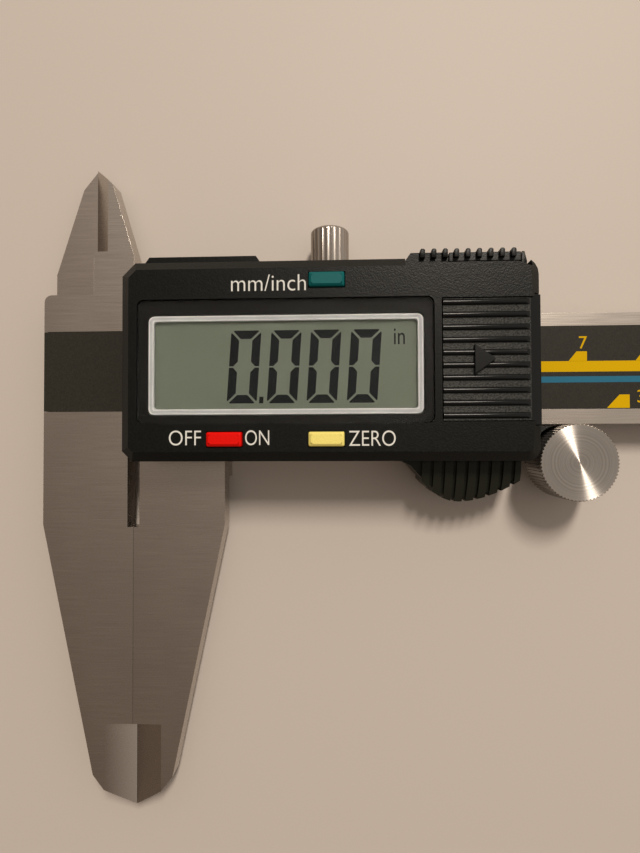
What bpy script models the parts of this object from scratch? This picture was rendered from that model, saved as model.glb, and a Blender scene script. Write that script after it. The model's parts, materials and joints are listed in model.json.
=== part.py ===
"""A 300 mm digital caliper that lies on its back, with its jaws closed.

The pieces are drawn in the caliper's own datum: X = 0 is where the jaws meet, Y = 0 is the
beam's lower edge, and Z = 0 is the beam's front face. An empty then moves that datum so that
the part stands on Z = 0, centred over the origin.
"""
import math

import bmesh
import bpy
from mathutils import Matrix, Vector

MM = 0.001

# Fits
SEAT_GAP = 0.3 * MM
GLUE_GAP = 0.05 * MM
RUNNING_GAP = 0.08 * MM
JAW_FACE_GAP = 0.04 * MM
PIN_GAP = 0.12 * MM
WELD = 0.001 * MM

# Beam
BEAM_WIDTH = 17.0 * MM
BEAM_THICKNESS = 3.5 * MM
MEASURING_RANGE = 300.0 * MM
BEAM_SPARE = 14.0 * MM
HEAD_WIDTH = 14.5 * MM
HEAD_SHOULDER = 3.9 * MM
HEAD_CORNER = 1.1 * MM
LABEL_WIDTH = 12.66 * MM
LABEL_RISE = 0.15 * MM
LABEL_THICKNESS = 0.15 * MM
STATOR_THICKNESS = 0.8 * MM

# Outer jaws
JAW_LENGTH = 60.0 * MM
JAW_WIDTH = 14.5 * MM
JAW_STRAIGHT = 15.5 * MM
JAW_POINT = 5.5 * MM
JAW_POINT_WIDTH = 6.3 * MM
JAW_TIP_RISE = 3.2 * MM
JAW_BEVEL_LENGTH = 13.5 * MM
JAW_BEVEL_WIDTH = 4.5 * MM
JAW_EDGE = 1.25 * MM
JAW_SLOT_WIDTH = 0.96 * MM
JAW_SLOT_LENGTH = 15.9 * MM

# Inner jaws, two crossing blades
BLADE_HEIGHT = 25.2 * MM
BLADE_EDGE_X = -7.25 * MM
BLADE_EDGE = 0.25 * MM
BLADE_ROOT_HEIGHT = 10.8 * MM
BLADE_RELIEF = 0.75 * MM
BLADE_BEVEL_WIDTH = 3.0 * MM
FIXED_BLADE_SHOULDER = 21.6 * MM
FIXED_BLADE_SHOULDER_X = -3.5 * MM
MOVING_BLADE_SHOULDER = 22.2 * MM
MOVING_BLADE_SHOULDER_X = -9.7 * MM
MOVING_BLADE_STRAIGHT = 8.1 * MM
MOVING_BLADE_WIDTH = 6.95 * MM
BLADE_ARM_WIDTH = 6.9 * MM

# Slider
SLIDER_LENGTH = 60.0 * MM
BACK_WALL = 2.65 * MM
LOWER_WALL = 4.7 * MM
UPPER_WALL = 4.8 * MM
GIB_THICKNESS = 1.0 * MM
GIB_WIDTH = 2.9 * MM
JAW_PAD_DROP = 3.4 * MM
GIB_SCREW_SPREAD = 9.5 * MM
GIB_SCREW_INSET = 4.5 * MM
GIB_SCREW_RADIUS = 1.0 * MM
CASE_SCREW_LEFT = 8.0 * MM
CASE_SCREW_INSET = 2.1 * MM
CASE_SCREW_RADIUS = 0.8 * MM
CASE_SCREW_HEAD_RADIUS = 1.5 * MM
CASE_SCREW_HEAD = 0.8 * MM
CASE_SCREW_REACH = 4.5 * MM
SCREW_SUNK = 0.15 * MM
SCREW_RIM = 0.15
SCREW_TIP_RADIUS = 0.75
SCREW_TIP_LENGTH = 0.4
TONGUE_MARGIN = 0.75 * MM
UPPER_WALL_LEFT = 0.4 * MM
PLATE_CORNER = 1.0 * MM

# Lock screw
LOCK_OFFSET = 1.0 * MM
LOCK_SHAFT_RADIUS = 1.25 * MM
KNOB_RADIUS = 3.0 * MM
KNOB_FOOT = 6.9 * MM
KNOB_LENGTH = 7.3 * MM
KNOB_DOME = 1.0 * MM
KNOB_DOME_WIDTH = 1.2 * MM
KNOB_CHAMFER = 0.5 * MM
KNOB_MARGIN = 0.02 * MM
KNOB_FLUTES = 26
FLUTE_DEPTH = 0.16 * MM

# Depth rod and its clamp
ROD_WIDTH = 3.0 * MM
ROD_THICKNESS = 1.5 * MM
ROD_GROOVE_GAP = 0.1 * MM
ROD_FOOT_INSET = 10.0 * MM
ROD_FOOT_LENGTH = 6.0 * MM
ROD_POINT = 1.2 * MM
CLAMP_LENGTH = 12.0 * MM
CLAMP_WIDTH = 6.4 * MM
CLAMP_THICKNESS = 0.9 * MM
CLAMP_SCREW_INSET = 1.5 * MM
CLAMP_SCREW_REACH = 1.9 * MM
SMALL_SCREW_RADIUS = 0.6 * MM
SMALL_SCREW_HEAD_RADIUS = 1.1 * MM
SMALL_SCREW_HEAD = 0.45 * MM

# Stop plate at the beam's far end
STOP_LENGTH = 6.0 * MM
STOP_THICKNESS = 0.9 * MM
STOP_INSET = 1.2 * MM
STOP_SCREW_SPREAD = 5.2 * MM

# Display case
CASE_LEFT = 1.1 * MM
CASE_OVERHANG = 0.75 * MM
CASE_BELOW = 5.35 * MM
CASE_ABOVE = 6.45 * MM
CASE_TOP = 9.3 * MM
CASE_WALL = 1.3 * MM
CASE_FRONT_WALL = 1.5 * MM
CASE_BEVEL = 1.35 * MM
CASE_CORNER_CUT_HIGH = 1.9 * MM
CASE_CORNER_CUT_LOW = 1.5 * MM
CASE_CORNER_ROUND_HIGH = 2.45 * MM
CASE_CORNER_ROUND_LOW = 1.8 * MM
BOSS_WALL = 0.75 * MM
STRIP_INSET = 2.3 * MM
STRIP_LENGTH = 17.9 * MM
STRIP_RISE = 1.4 * MM
STRIP_HEIGHT = 6.0 * MM
STRIP_RAMP = 1.0 * MM

# Window and display
WINDOW_INSET = 2.65 * MM
WINDOW_COVER_GAP = 1.25 * MM
WINDOW_BELOW = 5.4 * MM
WINDOW_ABOVE = 5.75 * MM
WINDOW_THICKNESS = 0.7 * MM
WINDOW_RECESS = 0.9 * MM
WINDOW_CORNER = 1.0 * MM
BEZEL_MARGIN = 1.35 * MM
BEZEL_BELOW = 1.25 * MM
BEZEL_ABOVE = 2.13 * MM
BEZEL_WIDTH = 0.85 * MM
BEZEL_CORNER = 0.9 * MM
GLASS_MARGIN = 0.9 * MM
GLASS_THICKNESS = 1.6 * MM
ZEBRA_WIDTH = 1.6 * MM
ZEBRA_INSET = 1.5 * MM

# Circuit board and its pieces
BOARD_THICKNESS = 0.9 * MM
BOARD_MARGIN = 0.25 * MM
CHIP_SIZE = 9.0 * MM
CHIP_HEIGHT = 1.3 * MM
DOME_RADIUS = 1.3 * MM
DOME_HEIGHT = 0.7 * MM

# Buttons
BUTTON_LENGTH = 5.04 * MM
BUTTON_WIDTH = 2.05 * MM
BUTTON_PROUD = 0.65 * MM
BUTTON_TRAVEL = 0.4 * MM
BUTTON_GAP = 0.12 * MM
BUTTON_FLANGE = 0.7 * MM
BUTTON_FLANGE_THICKNESS = 0.8 * MM
BUTTON_STEM_RADIUS = 0.7 * MM
BUTTON_ROUND = 0.35 * MM
BUTTON_INSET = 3.15 * MM
UNIT_BUTTON_OFFSET = 6.05 * MM
POWER_BUTTON_INSET = 15.2 * MM
ZERO_BUTTON_OFFSET = 5.96 * MM

# Battery and its cover
BATTERY_RADIUS = 5.8 * MM
BATTERY_HEIGHT = 5.4 * MM
BATTERY_INSET = 7.15 * MM
CONTACT_THICKNESS = 0.3 * MM
CONTACT_WIDTH = 4.0 * MM
CONTACT_FOOT = 1.2 * MM
CONTACT_HEIGHT = 4.5 * MM
SPRING_LENGTH = 7.0 * MM
COVER_LENGTH = 13.65 * MM
COVER_BELOW = 5.65 * MM
COVER_ABOVE = 6.05 * MM
COVER_PLATE = 1.0 * MM
COVER_LIP = 0.6 * MM
COVER_LIP_THICKNESS = 0.6 * MM
COVER_GAP = 0.15 * MM
COVER_END_WALL = 1.2 * MM
COVER_END_PROUD = 0.12 * MM
COVER_RIBS = 10
COVER_RIB_RADIUS = 0.42 * MM
COVER_RIB_MARGINS = (0.3 * MM, 0.1 * MM)
COVER_NOSE = 2.4 * MM
COVER_NOSE_SLOPE = 0.55
ARROW_INSET = 9.35 * MM
ARROW_LENGTH = 2.9 * MM
ARROW_HALF_HEIGHT = 2.05 * MM
ARROW_PROUD = 0.75 * MM

# Data port, its platform and its cover
PLATFORM_INSET = 1.05 * MM
PLATFORM_LENGTH = 17.7 * MM
PLATFORM_NOTCH = 1.45 * MM
PORT_COVER_INSET = 1.75 * MM
PORT_COVER_LENGTH = 10.6 * MM
PORT_INSET = 3.25 * MM
PORT_LENGTH = 7.7 * MM
PORT_Z = (2.0 * MM, 5.2 * MM)
PORT_PLUG_GAP = 0.15 * MM
TOP_RIB_PITCH = 1.63 * MM
TOP_RIB_WIDTH = 0.7 * MM
TOP_RIB_RISE = 0.35 * MM
TOP_RIB_PROUD = 0.8 * MM
TOP_RIB_DEPTH = 0.9 * MM
TOP_RIBS_FIXED = 3
TOP_RIBS_COVER = 6
FIRST_TOP_RIB_INSET = 16.1 * MM

# Thumb rest
REST_INSET = 1.75 * MM
REST_LENGTH = 17.2 * MM
REST_LOWEST_INSET = 10.55 * MM
REST_REACH = 6.35 * MM
REST_VANISH = 13.0 * MM
REST_TOP = 4.6 * MM
REST_RIM = 1.5 * MM
REST_FOOT = -5.4 * MM
REST_RIBS = 9
REST_RIB_PITCH = 1.69 * MM
REST_RIB_WIDTH = 1.15 * MM
REST_RIB_RISE = 0.6 * MM
FIRST_REST_RIB_INSET = 15.55 * MM

# Thumb roller and its bracket
ROLLER_AHEAD = 7.2 * MM
ROLLER_RADIUS = 5.5 * MM
ROLLER_TOP = 5.0 * MM
ROLLER_FOOT = -3.0 * MM
ROLLER_BEAM_GAP = 0.12 * MM
ROLLER_TEETH = 66
ROLLER_TOOTH = 0.14 * MM
ROLLER_LID = 1.2 * MM
ROLLER_CHAMFER = 0.3 * MM
AXLE_RADIUS = 1.5 * MM
AXLE_HEAD_RADIUS = 2.4 * MM
AXLE_HEAD = 0.9 * MM
AXLE_END_GAP = 0.3 * MM
BRACKET_THICKNESS = 2.4 * MM
BRACKET_RADIUS = 4.2 * MM
BRACKET_TONGUE = 10.0 * MM
BRACKET_TONGUE_THICKNESS = 1.1 * MM
GUARD_END_ANGLE = 172.0

# What follows from the sizes above
BEAM_BACK = -BEAM_THICKNESS
HEAD_LEFT = -HEAD_WIDTH
HEAD_TOP = BEAM_WIDTH + HEAD_SHOULDER
JAW_TIP_Y = -JAW_LENGTH
HALF_FACE_GAP = JAW_FACE_GAP / 2
CHANNEL_FLOOR = BEAM_BACK - RUNNING_GAP
SLIDER_BACK = CHANNEL_FLOOR - BACK_WALL
CHANNEL_LOW = -RUNNING_GAP
SLIDER_LOW = CHANNEL_LOW - LOWER_WALL
GIB_LOW = BEAM_WIDTH + RUNNING_GAP
CHANNEL_HIGH = GIB_LOW + GIB_THICKNESS + GLUE_GAP
SLIDER_HIGH = CHANNEL_HIGH + UPPER_WALL
BEAM_MIDDLE = BEAM_WIDTH / 2
WALL_MIDDLE_Z = BEAM_BACK / 2
LABEL_MIDDLE = BEAM_MIDDLE + LABEL_RISE
RECESS_DEPTH = STATOR_THICKNESS + LABEL_THICKNESS + 2 * GLUE_GAP
ROD_TOP = BEAM_BACK + ROD_THICKNESS + ROD_GROOVE_GAP
ROLLER_X = SLIDER_LENGTH + ROLLER_AHEAD
ROLLER_Y = -(ROLLER_RADIUS + ROLLER_TOOTH + ROLLER_BEAM_GAP)
BRACKET_TOP = ROLLER_FOOT - SEAT_GAP
BRACKET_BACK = BRACKET_TOP - BRACKET_THICKNESS
CARRIAGE_RIGHT = ROLLER_X + ROLLER_RADIUS
BEAM_END = CARRIAGE_RIGHT + MEASURING_RANGE + BEAM_SPARE
BLADE_TIP_Y = BEAM_WIDTH + BLADE_HEIGHT
CASE_RIGHT = SLIDER_LENGTH + CASE_OVERHANG
CASE_LOW = -CASE_BELOW
CASE_HIGH = BEAM_WIDTH + CASE_ABOVE
COVER_LEFT = CASE_RIGHT - COVER_LENGTH
COVER_Y = (CASE_LOW + COVER_BELOW, CASE_HIGH - COVER_ABOVE)
ARROW_X = (CASE_RIGHT - ARROW_INSET, CASE_RIGHT - ARROW_INSET + ARROW_LENGTH)
BATTERY_X = CASE_RIGHT - BATTERY_INSET
LOCK_X = SLIDER_LENGTH / 2 + LOCK_OFFSET
CASE_SCREW_X = (CASE_SCREW_LEFT, COVER_LEFT - CASE_SCREW_INSET)
GIB_SCREW_X = (LOCK_X - GIB_SCREW_SPREAD, CASE_SCREW_X[1] - GIB_SCREW_INSET)
ROD_FOOT_X = SLIDER_LENGTH - ROD_FOOT_INSET
STRIP_X = (CASE_LEFT + STRIP_INSET, CASE_LEFT + STRIP_INSET + STRIP_LENGTH)
WINDOW_X = (CASE_LEFT + WINDOW_INSET, COVER_LEFT - WINDOW_COVER_GAP)
WINDOW_Y = (CASE_LOW + WINDOW_BELOW, CASE_HIGH - WINDOW_ABOVE)
BEZEL_X = (WINDOW_X[0] + BEZEL_MARGIN, WINDOW_X[1] - BEZEL_MARGIN)
BEZEL_Y = (WINDOW_Y[0] + BEZEL_BELOW, WINDOW_Y[1] - BEZEL_ABOVE)
WINDOW_MIDDLE = (WINDOW_X[0] + WINDOW_X[1]) / 2
UPPER_BUTTON_Y = CASE_HIGH - BUTTON_INSET
LOWER_BUTTON_Y = CASE_LOW + BUTTON_INSET
UNIT_BUTTON_X = WINDOW_MIDDLE + UNIT_BUTTON_OFFSET
POWER_BUTTON_X = CASE_LEFT + POWER_BUTTON_INSET
ZERO_BUTTON_X = WINDOW_MIDDLE + ZERO_BUTTON_OFFSET
PLATFORM_X = (CASE_RIGHT - PLATFORM_INSET - PLATFORM_LENGTH, CASE_RIGHT - PLATFORM_INSET)
PORT_COVER_X = (CASE_RIGHT - PORT_COVER_INSET - PORT_COVER_LENGTH, CASE_RIGHT - PORT_COVER_INSET)
PORT_X = (CASE_RIGHT - PORT_INSET - PORT_LENGTH, CASE_RIGHT - PORT_INSET)
FIRST_TOP_RIB_X = CASE_RIGHT - FIRST_TOP_RIB_INSET
REST_X = (CASE_RIGHT - REST_INSET - REST_LENGTH, CASE_RIGHT - REST_INSET)
REST_LOWEST_X = CASE_RIGHT - REST_LOWEST_INSET
REST_VANISH_X = REST_LOWEST_X + REST_VANISH
FIRST_REST_RIB_X = CASE_RIGHT - FIRST_REST_RIB_INSET
CASE_FOOT = SEAT_GAP
CASE_CEILING = CASE_TOP - CASE_FRONT_WALL
BOARD_LOW = SEAT_GAP
BOARD_TOP = BOARD_LOW + BOARD_THICKNESS
WINDOW_LEDGE = CASE_TOP - WINDOW_RECESS
WINDOW_FOOT = WINDOW_LEDGE + GLUE_GAP
BEZEL_TOP = WINDOW_LEDGE - GLUE_GAP
BEZEL_FOOT = CASE_CEILING
GLASS_TOP = CASE_CEILING - GLUE_GAP
GLASS_FOOT = GLASS_TOP - GLASS_THICKNESS
COVER_FOOT = CASE_TOP - COVER_PLATE - COVER_RIB_RADIUS / 2
BUTTON_TOP = CASE_TOP + BUTTON_PROUD
DOME_TOP = BOARD_TOP + GLUE_GAP + DOME_HEIGHT
BATTERY_FOOT = BOARD_TOP + 2 * SEAT_GAP + CONTACT_THICKNESS
PLATFORM_TOP = CASE_HIGH + STRIP_RISE

ROUND_SIDES = 32
SMALL_SIDES = 16
CUT_MARGIN = 2.0 * MM
FLAT_ANGLE = math.radians(0.1)


for old in list(bpy.data.objects):
    bpy.data.objects.remove(old, do_unlink=True)

parts = bpy.data.collections.new("digital_caliper")
cutters = bpy.data.collections.new("cutters")
bpy.context.scene.collection.children.link(parts)
bpy.context.scene.collection.children.link(cutters)

LOWEST = SLIDER_BACK
datum = bpy.data.objects.new("datum", None)
datum.location = (
    -(HEAD_LEFT + BEAM_END) / 2,
    -(JAW_TIP_Y + BLADE_TIP_Y) / 2,
    -LOWEST,
)
parts.objects.link(datum)


def material(name, colour, roughness, metallic=0.0):
    """A plain Principled material; colour is linear red, green, blue."""
    made = bpy.data.materials.new(name)
    made.use_nodes = True
    shader = made.node_tree.nodes["Principled BSDF"]
    shader.inputs["Base Color"].default_value = (*colour, 1.0)
    shader.inputs["Roughness"].default_value = roughness
    shader.inputs["Metallic"].default_value = metallic
    made.diffuse_color = (*colour, 1.0)
    return made


steel = material("ground_stainless_steel", (0.38, 0.36, 0.33), 0.34, 1.0)
nickel = material("nickel_plated_brass", (0.52, 0.48, 0.42), 0.28, 1.0)
brass = material("gib_brass", (0.55, 0.38, 0.16), 0.4, 1.0)
spring_steel = material("spring_steel", (0.45, 0.45, 0.45), 0.3, 1.0)
black_plastic = material("black_abs", (0.014, 0.016, 0.015), 0.42)
board_green = material("circuit_board", (0.02, 0.11, 0.05), 0.5)
chip_black = material("chip_epoxy", (0.01, 0.01, 0.01), 0.6)
fibreglass = material("scale_laminate", (0.12, 0.16, 0.07), 0.5)
label_black = material("printed_film", (0.027, 0.026, 0.024), 0.45)
silver = material("silver_bezel", (0.48, 0.50, 0.46), 0.35)
clear = material("clear_acrylic", (0.75, 0.78, 0.74), 0.06)
lcd_grey = material("lcd_glass", (0.18, 0.19, 0.14), 0.25)
rubber_grey = material("contact_rubber", (0.25, 0.2, 0.18), 0.7)
red = material("red_abs", (0.75, 0.015, 0.008), 0.35)
cream = material("cream_abs", (0.86, 0.67, 0.2), 0.35)
teal = material("teal_abs", (0.012, 0.11, 0.1), 0.35)


def add_object(name, mesh, collection):
    made = bpy.data.objects.new(name, mesh)
    collection.objects.link(made)
    return made


def mesh_from(bm, name):
    mesh = bpy.data.meshes.new(name)
    bmesh.ops.recalc_face_normals(bm, faces=bm.faces)
    bm.to_mesh(mesh)
    bm.free()
    return mesh


def tool(mesh, name):
    """A cutter or a second operand: it is hidden, and never a piece of its own."""
    made = add_object(name, mesh, cutters)
    made.hide_render = True
    made.display_type = "WIRE"
    made.parent = datum
    return made


def flat_mesh(name, outline, low, high, turn=None):
    """A closed outline in a plane, extruded from low to high along the plane's normal."""
    curve = bpy.data.curves.new(name, "CURVE")
    curve.dimensions = "2D"
    curve.fill_mode = "BOTH"
    curve.extrude = (high - low) / 2
    spline = curve.splines.new("POLY")
    spline.points.add(len(outline) - 1)
    for point, (across, up) in zip(spline.points, outline):
        point.co = (across, up, 0.0, 1.0)
    spline.use_cyclic_u = True
    drawn = add_object(name, curve, cutters)
    lift = Matrix.Translation((0.0, 0.0, (low + high) / 2))
    drawn.matrix_world = (turn or Matrix.Identity(4)) @ lift
    bpy.context.view_layer.update()
    evaluated = drawn.evaluated_get(bpy.context.evaluated_depsgraph_get())
    mesh = bpy.data.meshes.new_from_object(evaluated)
    mesh.transform(drawn.matrix_world)
    bpy.data.objects.remove(drawn, do_unlink=True)
    bpy.data.curves.remove(curve)
    bm = bmesh.new()
    bm.from_mesh(mesh)
    bmesh.ops.remove_doubles(bm, verts=bm.verts, dist=WELD)
    bmesh.ops.dissolve_limit(bm, angle_limit=FLAT_ANGLE, verts=bm.verts, edges=bm.edges)
    bmesh.ops.recalc_face_normals(bm, faces=bm.faces)
    bm.to_mesh(mesh)
    bm.free()
    return mesh


# An outline drawn as (Y, Z) is extruded along X, and one drawn as (X, Z) along -Y.
ALONG_X = Matrix(((0, 0, 1, 0), (1, 0, 0, 0), (0, 1, 0, 0), (0, 0, 0, 1)))
ALONG_MINUS_Y = Matrix.Rotation(math.pi / 2, 4, "X")


def block_mesh(name, low, high):
    """A box between two corners."""
    bm = bmesh.new()
    bmesh.ops.create_cube(bm, size=1.0)
    size = Vector(high) - Vector(low)
    middle = (Vector(high) + Vector(low)) / 2
    bmesh.ops.scale(bm, vec=size, verts=bm.verts)
    bmesh.ops.translate(bm, vec=middle, verts=bm.verts)
    return mesh_from(bm, name)


def rod_mesh(name, start, end, radius, sides=SMALL_SIDES, end_radius=None):
    """A cylinder, or a cone with two radii, between two points on its axis."""
    start = Vector(start)
    end = Vector(end)
    bm = bmesh.new()
    bmesh.ops.create_cone(
        bm,
        cap_ends=True,
        segments=sides,
        radius1=radius,
        radius2=radius if end_radius is None else end_radius,
        depth=(end - start).length,
    )
    turn = (end - start).to_track_quat("Z", "Y").to_matrix().to_4x4()
    place = Matrix.Translation((start + end) / 2) @ turn
    bmesh.ops.transform(bm, matrix=place, verts=bm.verts)
    return mesh_from(bm, name)


def merged(name, meshes):
    """Several separate shells in one mesh, for one cut or one union."""
    bm = bmesh.new()
    for mesh in meshes:
        bm.from_mesh(mesh)
    return mesh_from(bm, name)


def boolean(piece, mesh, operation, name):
    step = piece.modifiers.new(name, "BOOLEAN")
    step.operation = operation
    step.solver = "EXACT"
    step.object = tool(mesh, piece.name + "_" + name)
    return step


def cut(piece, mesh, name):
    boolean(piece, mesh, "DIFFERENCE", name)


def join(piece, mesh, name):
    boolean(piece, mesh, "UNION", name)


def keep(piece, mesh, name):
    boolean(piece, mesh, "INTERSECT", name)


def piece(name, mesh, finish, origin=(0.0, 0.0, 0.0)):
    """A named part in the datum's frame. Its origin may be moved to a joint's axis."""
    mesh.transform(Matrix.Translation(-Vector(origin)))
    made = add_object(name, mesh, parts)
    made.parent = datum
    made.location = origin
    mesh.materials.append(finish)
    return made


def smooth(made, degrees=35.0):
    made.data.shade_smooth()
    made.data.set_sharp_from_angle(angle=math.radians(degrees))


def bevel_edges(mesh, width, segments, wanted):
    """Rounds or chamfers the edges whose two ends both satisfy wanted(point)."""
    bm = bmesh.new()
    bm.from_mesh(mesh)
    chosen = [edge for edge in bm.edges if all(wanted(vert.co) for vert in edge.verts)]
    bmesh.ops.bevel(
        bm,
        geom=chosen,
        offset=width,
        segments=segments,
        profile=0.5,
        affect="EDGES",
        clamp_overlap=True,
    )
    bm.to_mesh(mesh)
    bm.free()
    return mesh


def arc(centre, radius, start, end, steps):
    """Points of an arc in a plane, from one angle to another in degrees."""
    points = []
    for step in range(steps + 1):
        angle = math.radians(start + (end - start) * step / steps)
        across = centre[0] + radius * math.cos(angle)
        up = centre[1] + radius * math.sin(angle)
        points.append((across, up))
    return points


def rounded_box(left, right, low, high, radius, steps=4):
    """A rectangle's outline with round corners, anticlockwise."""
    points = []
    corners = (
        (right - radius, low + radius, -90),
        (right - radius, high - radius, 0),
        (left + radius, high - radius, 90),
        (left + radius, low + radius, 180),
    )
    for across, up, start in corners:
        points += arc((across, up), radius, start, start + 90, steps)
    return points


def toothed_circle(centre, radius, tooth, teeth):
    """A circle with fine teeth: one point at each crest and one at each root."""
    points = []
    for index in range(2 * teeth):
        angle = math.pi * index / teeth
        reach = radius + (tooth if index % 2 == 0 else 0.0)
        points.append((centre[0] + reach * math.cos(angle), centre[1] + reach * math.sin(angle)))
    return points


def countersunk_screw(name, foot, head_radius, head, shaft_radius, reach, finish, direction=(0, 0, 1)):
    """A screw turned from one profile: a flat conical head, then a plain shank."""
    foot = Vector(foot)
    direction = Vector(direction)
    profile = (
        (0.0, reach),
        (shaft_radius * SCREW_TIP_RADIUS, reach),
        (shaft_radius, reach - shaft_radius * SCREW_TIP_LENGTH),
        (shaft_radius, head),
        (head_radius, head * SCREW_RIM),
        (head_radius, 0.0),
        (0.0, 0.0),
    )
    mesh = turned_mesh(name, profile, SMALL_SIDES)
    turn = direction.to_track_quat("Z", "Y").to_matrix().to_4x4()
    mesh.transform(Matrix.Translation(foot) @ turn)
    made = piece(name, mesh, finish)
    smooth(made)
    return made


def turned_mesh(name, profile, sides):
    """A profile of (radius, height) points, top to bottom, turned about Z."""
    bm = bmesh.new()
    verts = [bm.verts.new((radius, 0.0, height)) for radius, height in profile]
    for first, second in zip(verts, verts[1:]):
        bm.edges.new((first, second))
    outline = bpy.data.meshes.new(name + "_profile")
    bm.to_mesh(outline)
    bm.free()
    drawn = add_object(name + "_profile", outline, cutters)
    turn = drawn.modifiers.new("turn", "SCREW")
    turn.axis = "Z"
    turn.steps = sides
    turn.render_steps = sides
    turn.use_merge_vertices = True
    turn.merge_threshold = WELD
    turn.use_normal_calculate = True
    bpy.context.view_layer.update()
    evaluated = drawn.evaluated_get(bpy.context.evaluated_depsgraph_get())
    mesh = bpy.data.meshes.new_from_object(evaluated)
    bpy.data.objects.remove(drawn, do_unlink=True)
    bpy.data.meshes.remove(outline)
    bm = bmesh.new()
    bm.from_mesh(mesh)
    bmesh.ops.recalc_face_normals(bm, faces=bm.faces)
    bm.to_mesh(mesh)
    bm.free()
    mesh.name = name
    return mesh


def countersunk_hole(foot, head_radius, head, shaft_radius, end_z):
    """The cutter for a screw from the back: a cone for the head and a drilled hole."""
    across, up, back = foot
    cone = rod_mesh(
        "sink",
        (across, up, back - SCREW_SUNK - CUT_MARGIN),
        (across, up, back),
        head_radius + PIN_GAP,
    )
    taper = rod_mesh(
        "taper",
        (across, up, back - 0.05 * MM),
        (across, up, back + head + PIN_GAP),
        head_radius + PIN_GAP,
        end_radius=shaft_radius + PIN_GAP,
    )
    shank = rod_mesh("shank", (across, up, back), (across, up, end_z), shaft_radius + PIN_GAP)
    return cone, taper, shank


def jaw_outline(side):
    """One outer jaw from its slot to its point; side is -1 for the fixed jaw, 1 for the moving."""
    return [
        (side * JAW_SLOT_WIDTH, -JAW_SLOT_LENGTH),
        (side * HALF_FACE_GAP, -JAW_SLOT_LENGTH),
        (side * HALF_FACE_GAP, JAW_TIP_Y),
        (side * JAW_BEVEL_WIDTH, JAW_TIP_Y + JAW_TIP_RISE),
        (side * JAW_POINT_WIDTH, JAW_TIP_Y + JAW_POINT),
        (side * JAW_WIDTH, -JAW_STRAIGHT),
    ]


def wedge(name, outer, edge, face_z, edge_z, low, high):
    """The grinding wheel's path: all that lies past the plane from (outer, face_z) to (edge, edge_z)."""
    slope = (edge_z - face_z) / (edge - outer)
    away = math.copysign(CUT_MARGIN, face_z - edge_z)
    past = edge + math.copysign(CUT_MARGIN, edge - outer)
    before = outer - math.copysign(CUT_MARGIN, edge - outer)
    outline = [
        (before, face_z + slope * (before - outer)),
        (past, face_z + slope * (past - outer)),
        (past, face_z + 3 * away),
        (before, face_z + 3 * away),
    ]
    return flat_mesh(name, outline, -high, -low, ALONG_MINUS_Y)


def outer_bevel(side):
    """The ground bevel that thins an outer jaw's point to a narrow edge."""
    return wedge(
        "jaw_bevel",
        side * JAW_BEVEL_WIDTH,
        0.0,
        0.0,
        BEAM_BACK + JAW_EDGE,
        JAW_TIP_Y - CUT_MARGIN,
        JAW_TIP_Y + JAW_BEVEL_LENGTH,
    )


def make_beam():
    """The rule: one ground steel plate with the head, the fixed outer jaw and the fixed blade."""
    root_x = BLADE_EDGE_X + BLADE_RELIEF
    root_y = BEAM_WIDTH + BLADE_ROOT_HEIGHT
    outline = [
        (BEAM_END, 0.0),
        (BEAM_END, BEAM_WIDTH),
        (-HALF_FACE_GAP, BEAM_WIDTH),
        (-HALF_FACE_GAP, BEAM_WIDTH + BLADE_ROOT_HEIGHT - BLADE_RELIEF),
        (FIXED_BLADE_SHOULDER_X, BEAM_WIDTH + FIXED_BLADE_SHOULDER),
        (BLADE_EDGE_X, BLADE_TIP_Y),
        (BLADE_EDGE_X, root_y),
        (root_x, root_y),
        (root_x, HEAD_TOP),
    ]
    outline += arc((HEAD_LEFT + HEAD_CORNER, HEAD_TOP - HEAD_CORNER), HEAD_CORNER, 90, 180, 4)
    outline += reversed(jaw_outline(-1)[1:])
    outline += [(-JAW_SLOT_WIDTH, -JAW_SLOT_LENGTH), (-JAW_SLOT_WIDTH, 0.0)]
    beam = piece("beam", flat_mesh("beam", outline, BEAM_BACK, 0.0), steel)
    cut(beam, outer_bevel(-1), "jaw_bevel")
    blade_bevel = wedge(
        "blade_bevel",
        BLADE_EDGE_X + BLADE_BEVEL_WIDTH,
        BLADE_EDGE_X,
        0.0,
        BEAM_BACK + BLADE_EDGE,
        root_y,
        BLADE_TIP_Y + CUT_MARGIN,
    )
    cut(beam, blade_bevel, "blade_bevel")
    half_label = LABEL_WIDTH / 2 + GLUE_GAP
    recess = block_mesh(
        "recess",
        (HEAD_LEFT - CUT_MARGIN, LABEL_MIDDLE - half_label, -RECESS_DEPTH),
        (BEAM_END + CUT_MARGIN, LABEL_MIDDLE + half_label, CUT_MARGIN),
    )
    cut(beam, recess, "scale_recess")
    groove = block_mesh(
        "groove",
        (JAW_SLOT_WIDTH, BEAM_MIDDLE - ROD_WIDTH / 2 - ROD_GROOVE_GAP, BEAM_BACK - CUT_MARGIN),
        (BEAM_END + CUT_MARGIN, BEAM_MIDDLE + ROD_WIDTH / 2 + ROD_GROOVE_GAP, ROD_TOP + ROD_GROOVE_GAP),
    )
    cut(beam, groove, "rod_groove")
    holes = []
    for up in stop_screw_heights():
        start = (stop_middle(), up, BEAM_BACK - CUT_MARGIN)
        end = (stop_middle(), up, ROD_TOP)
        holes.append(rod_mesh("hole", start, end, SMALL_SCREW_RADIUS + PIN_GAP, 12))
    cut(beam, merged("stop_holes", holes), "stop_holes")


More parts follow.
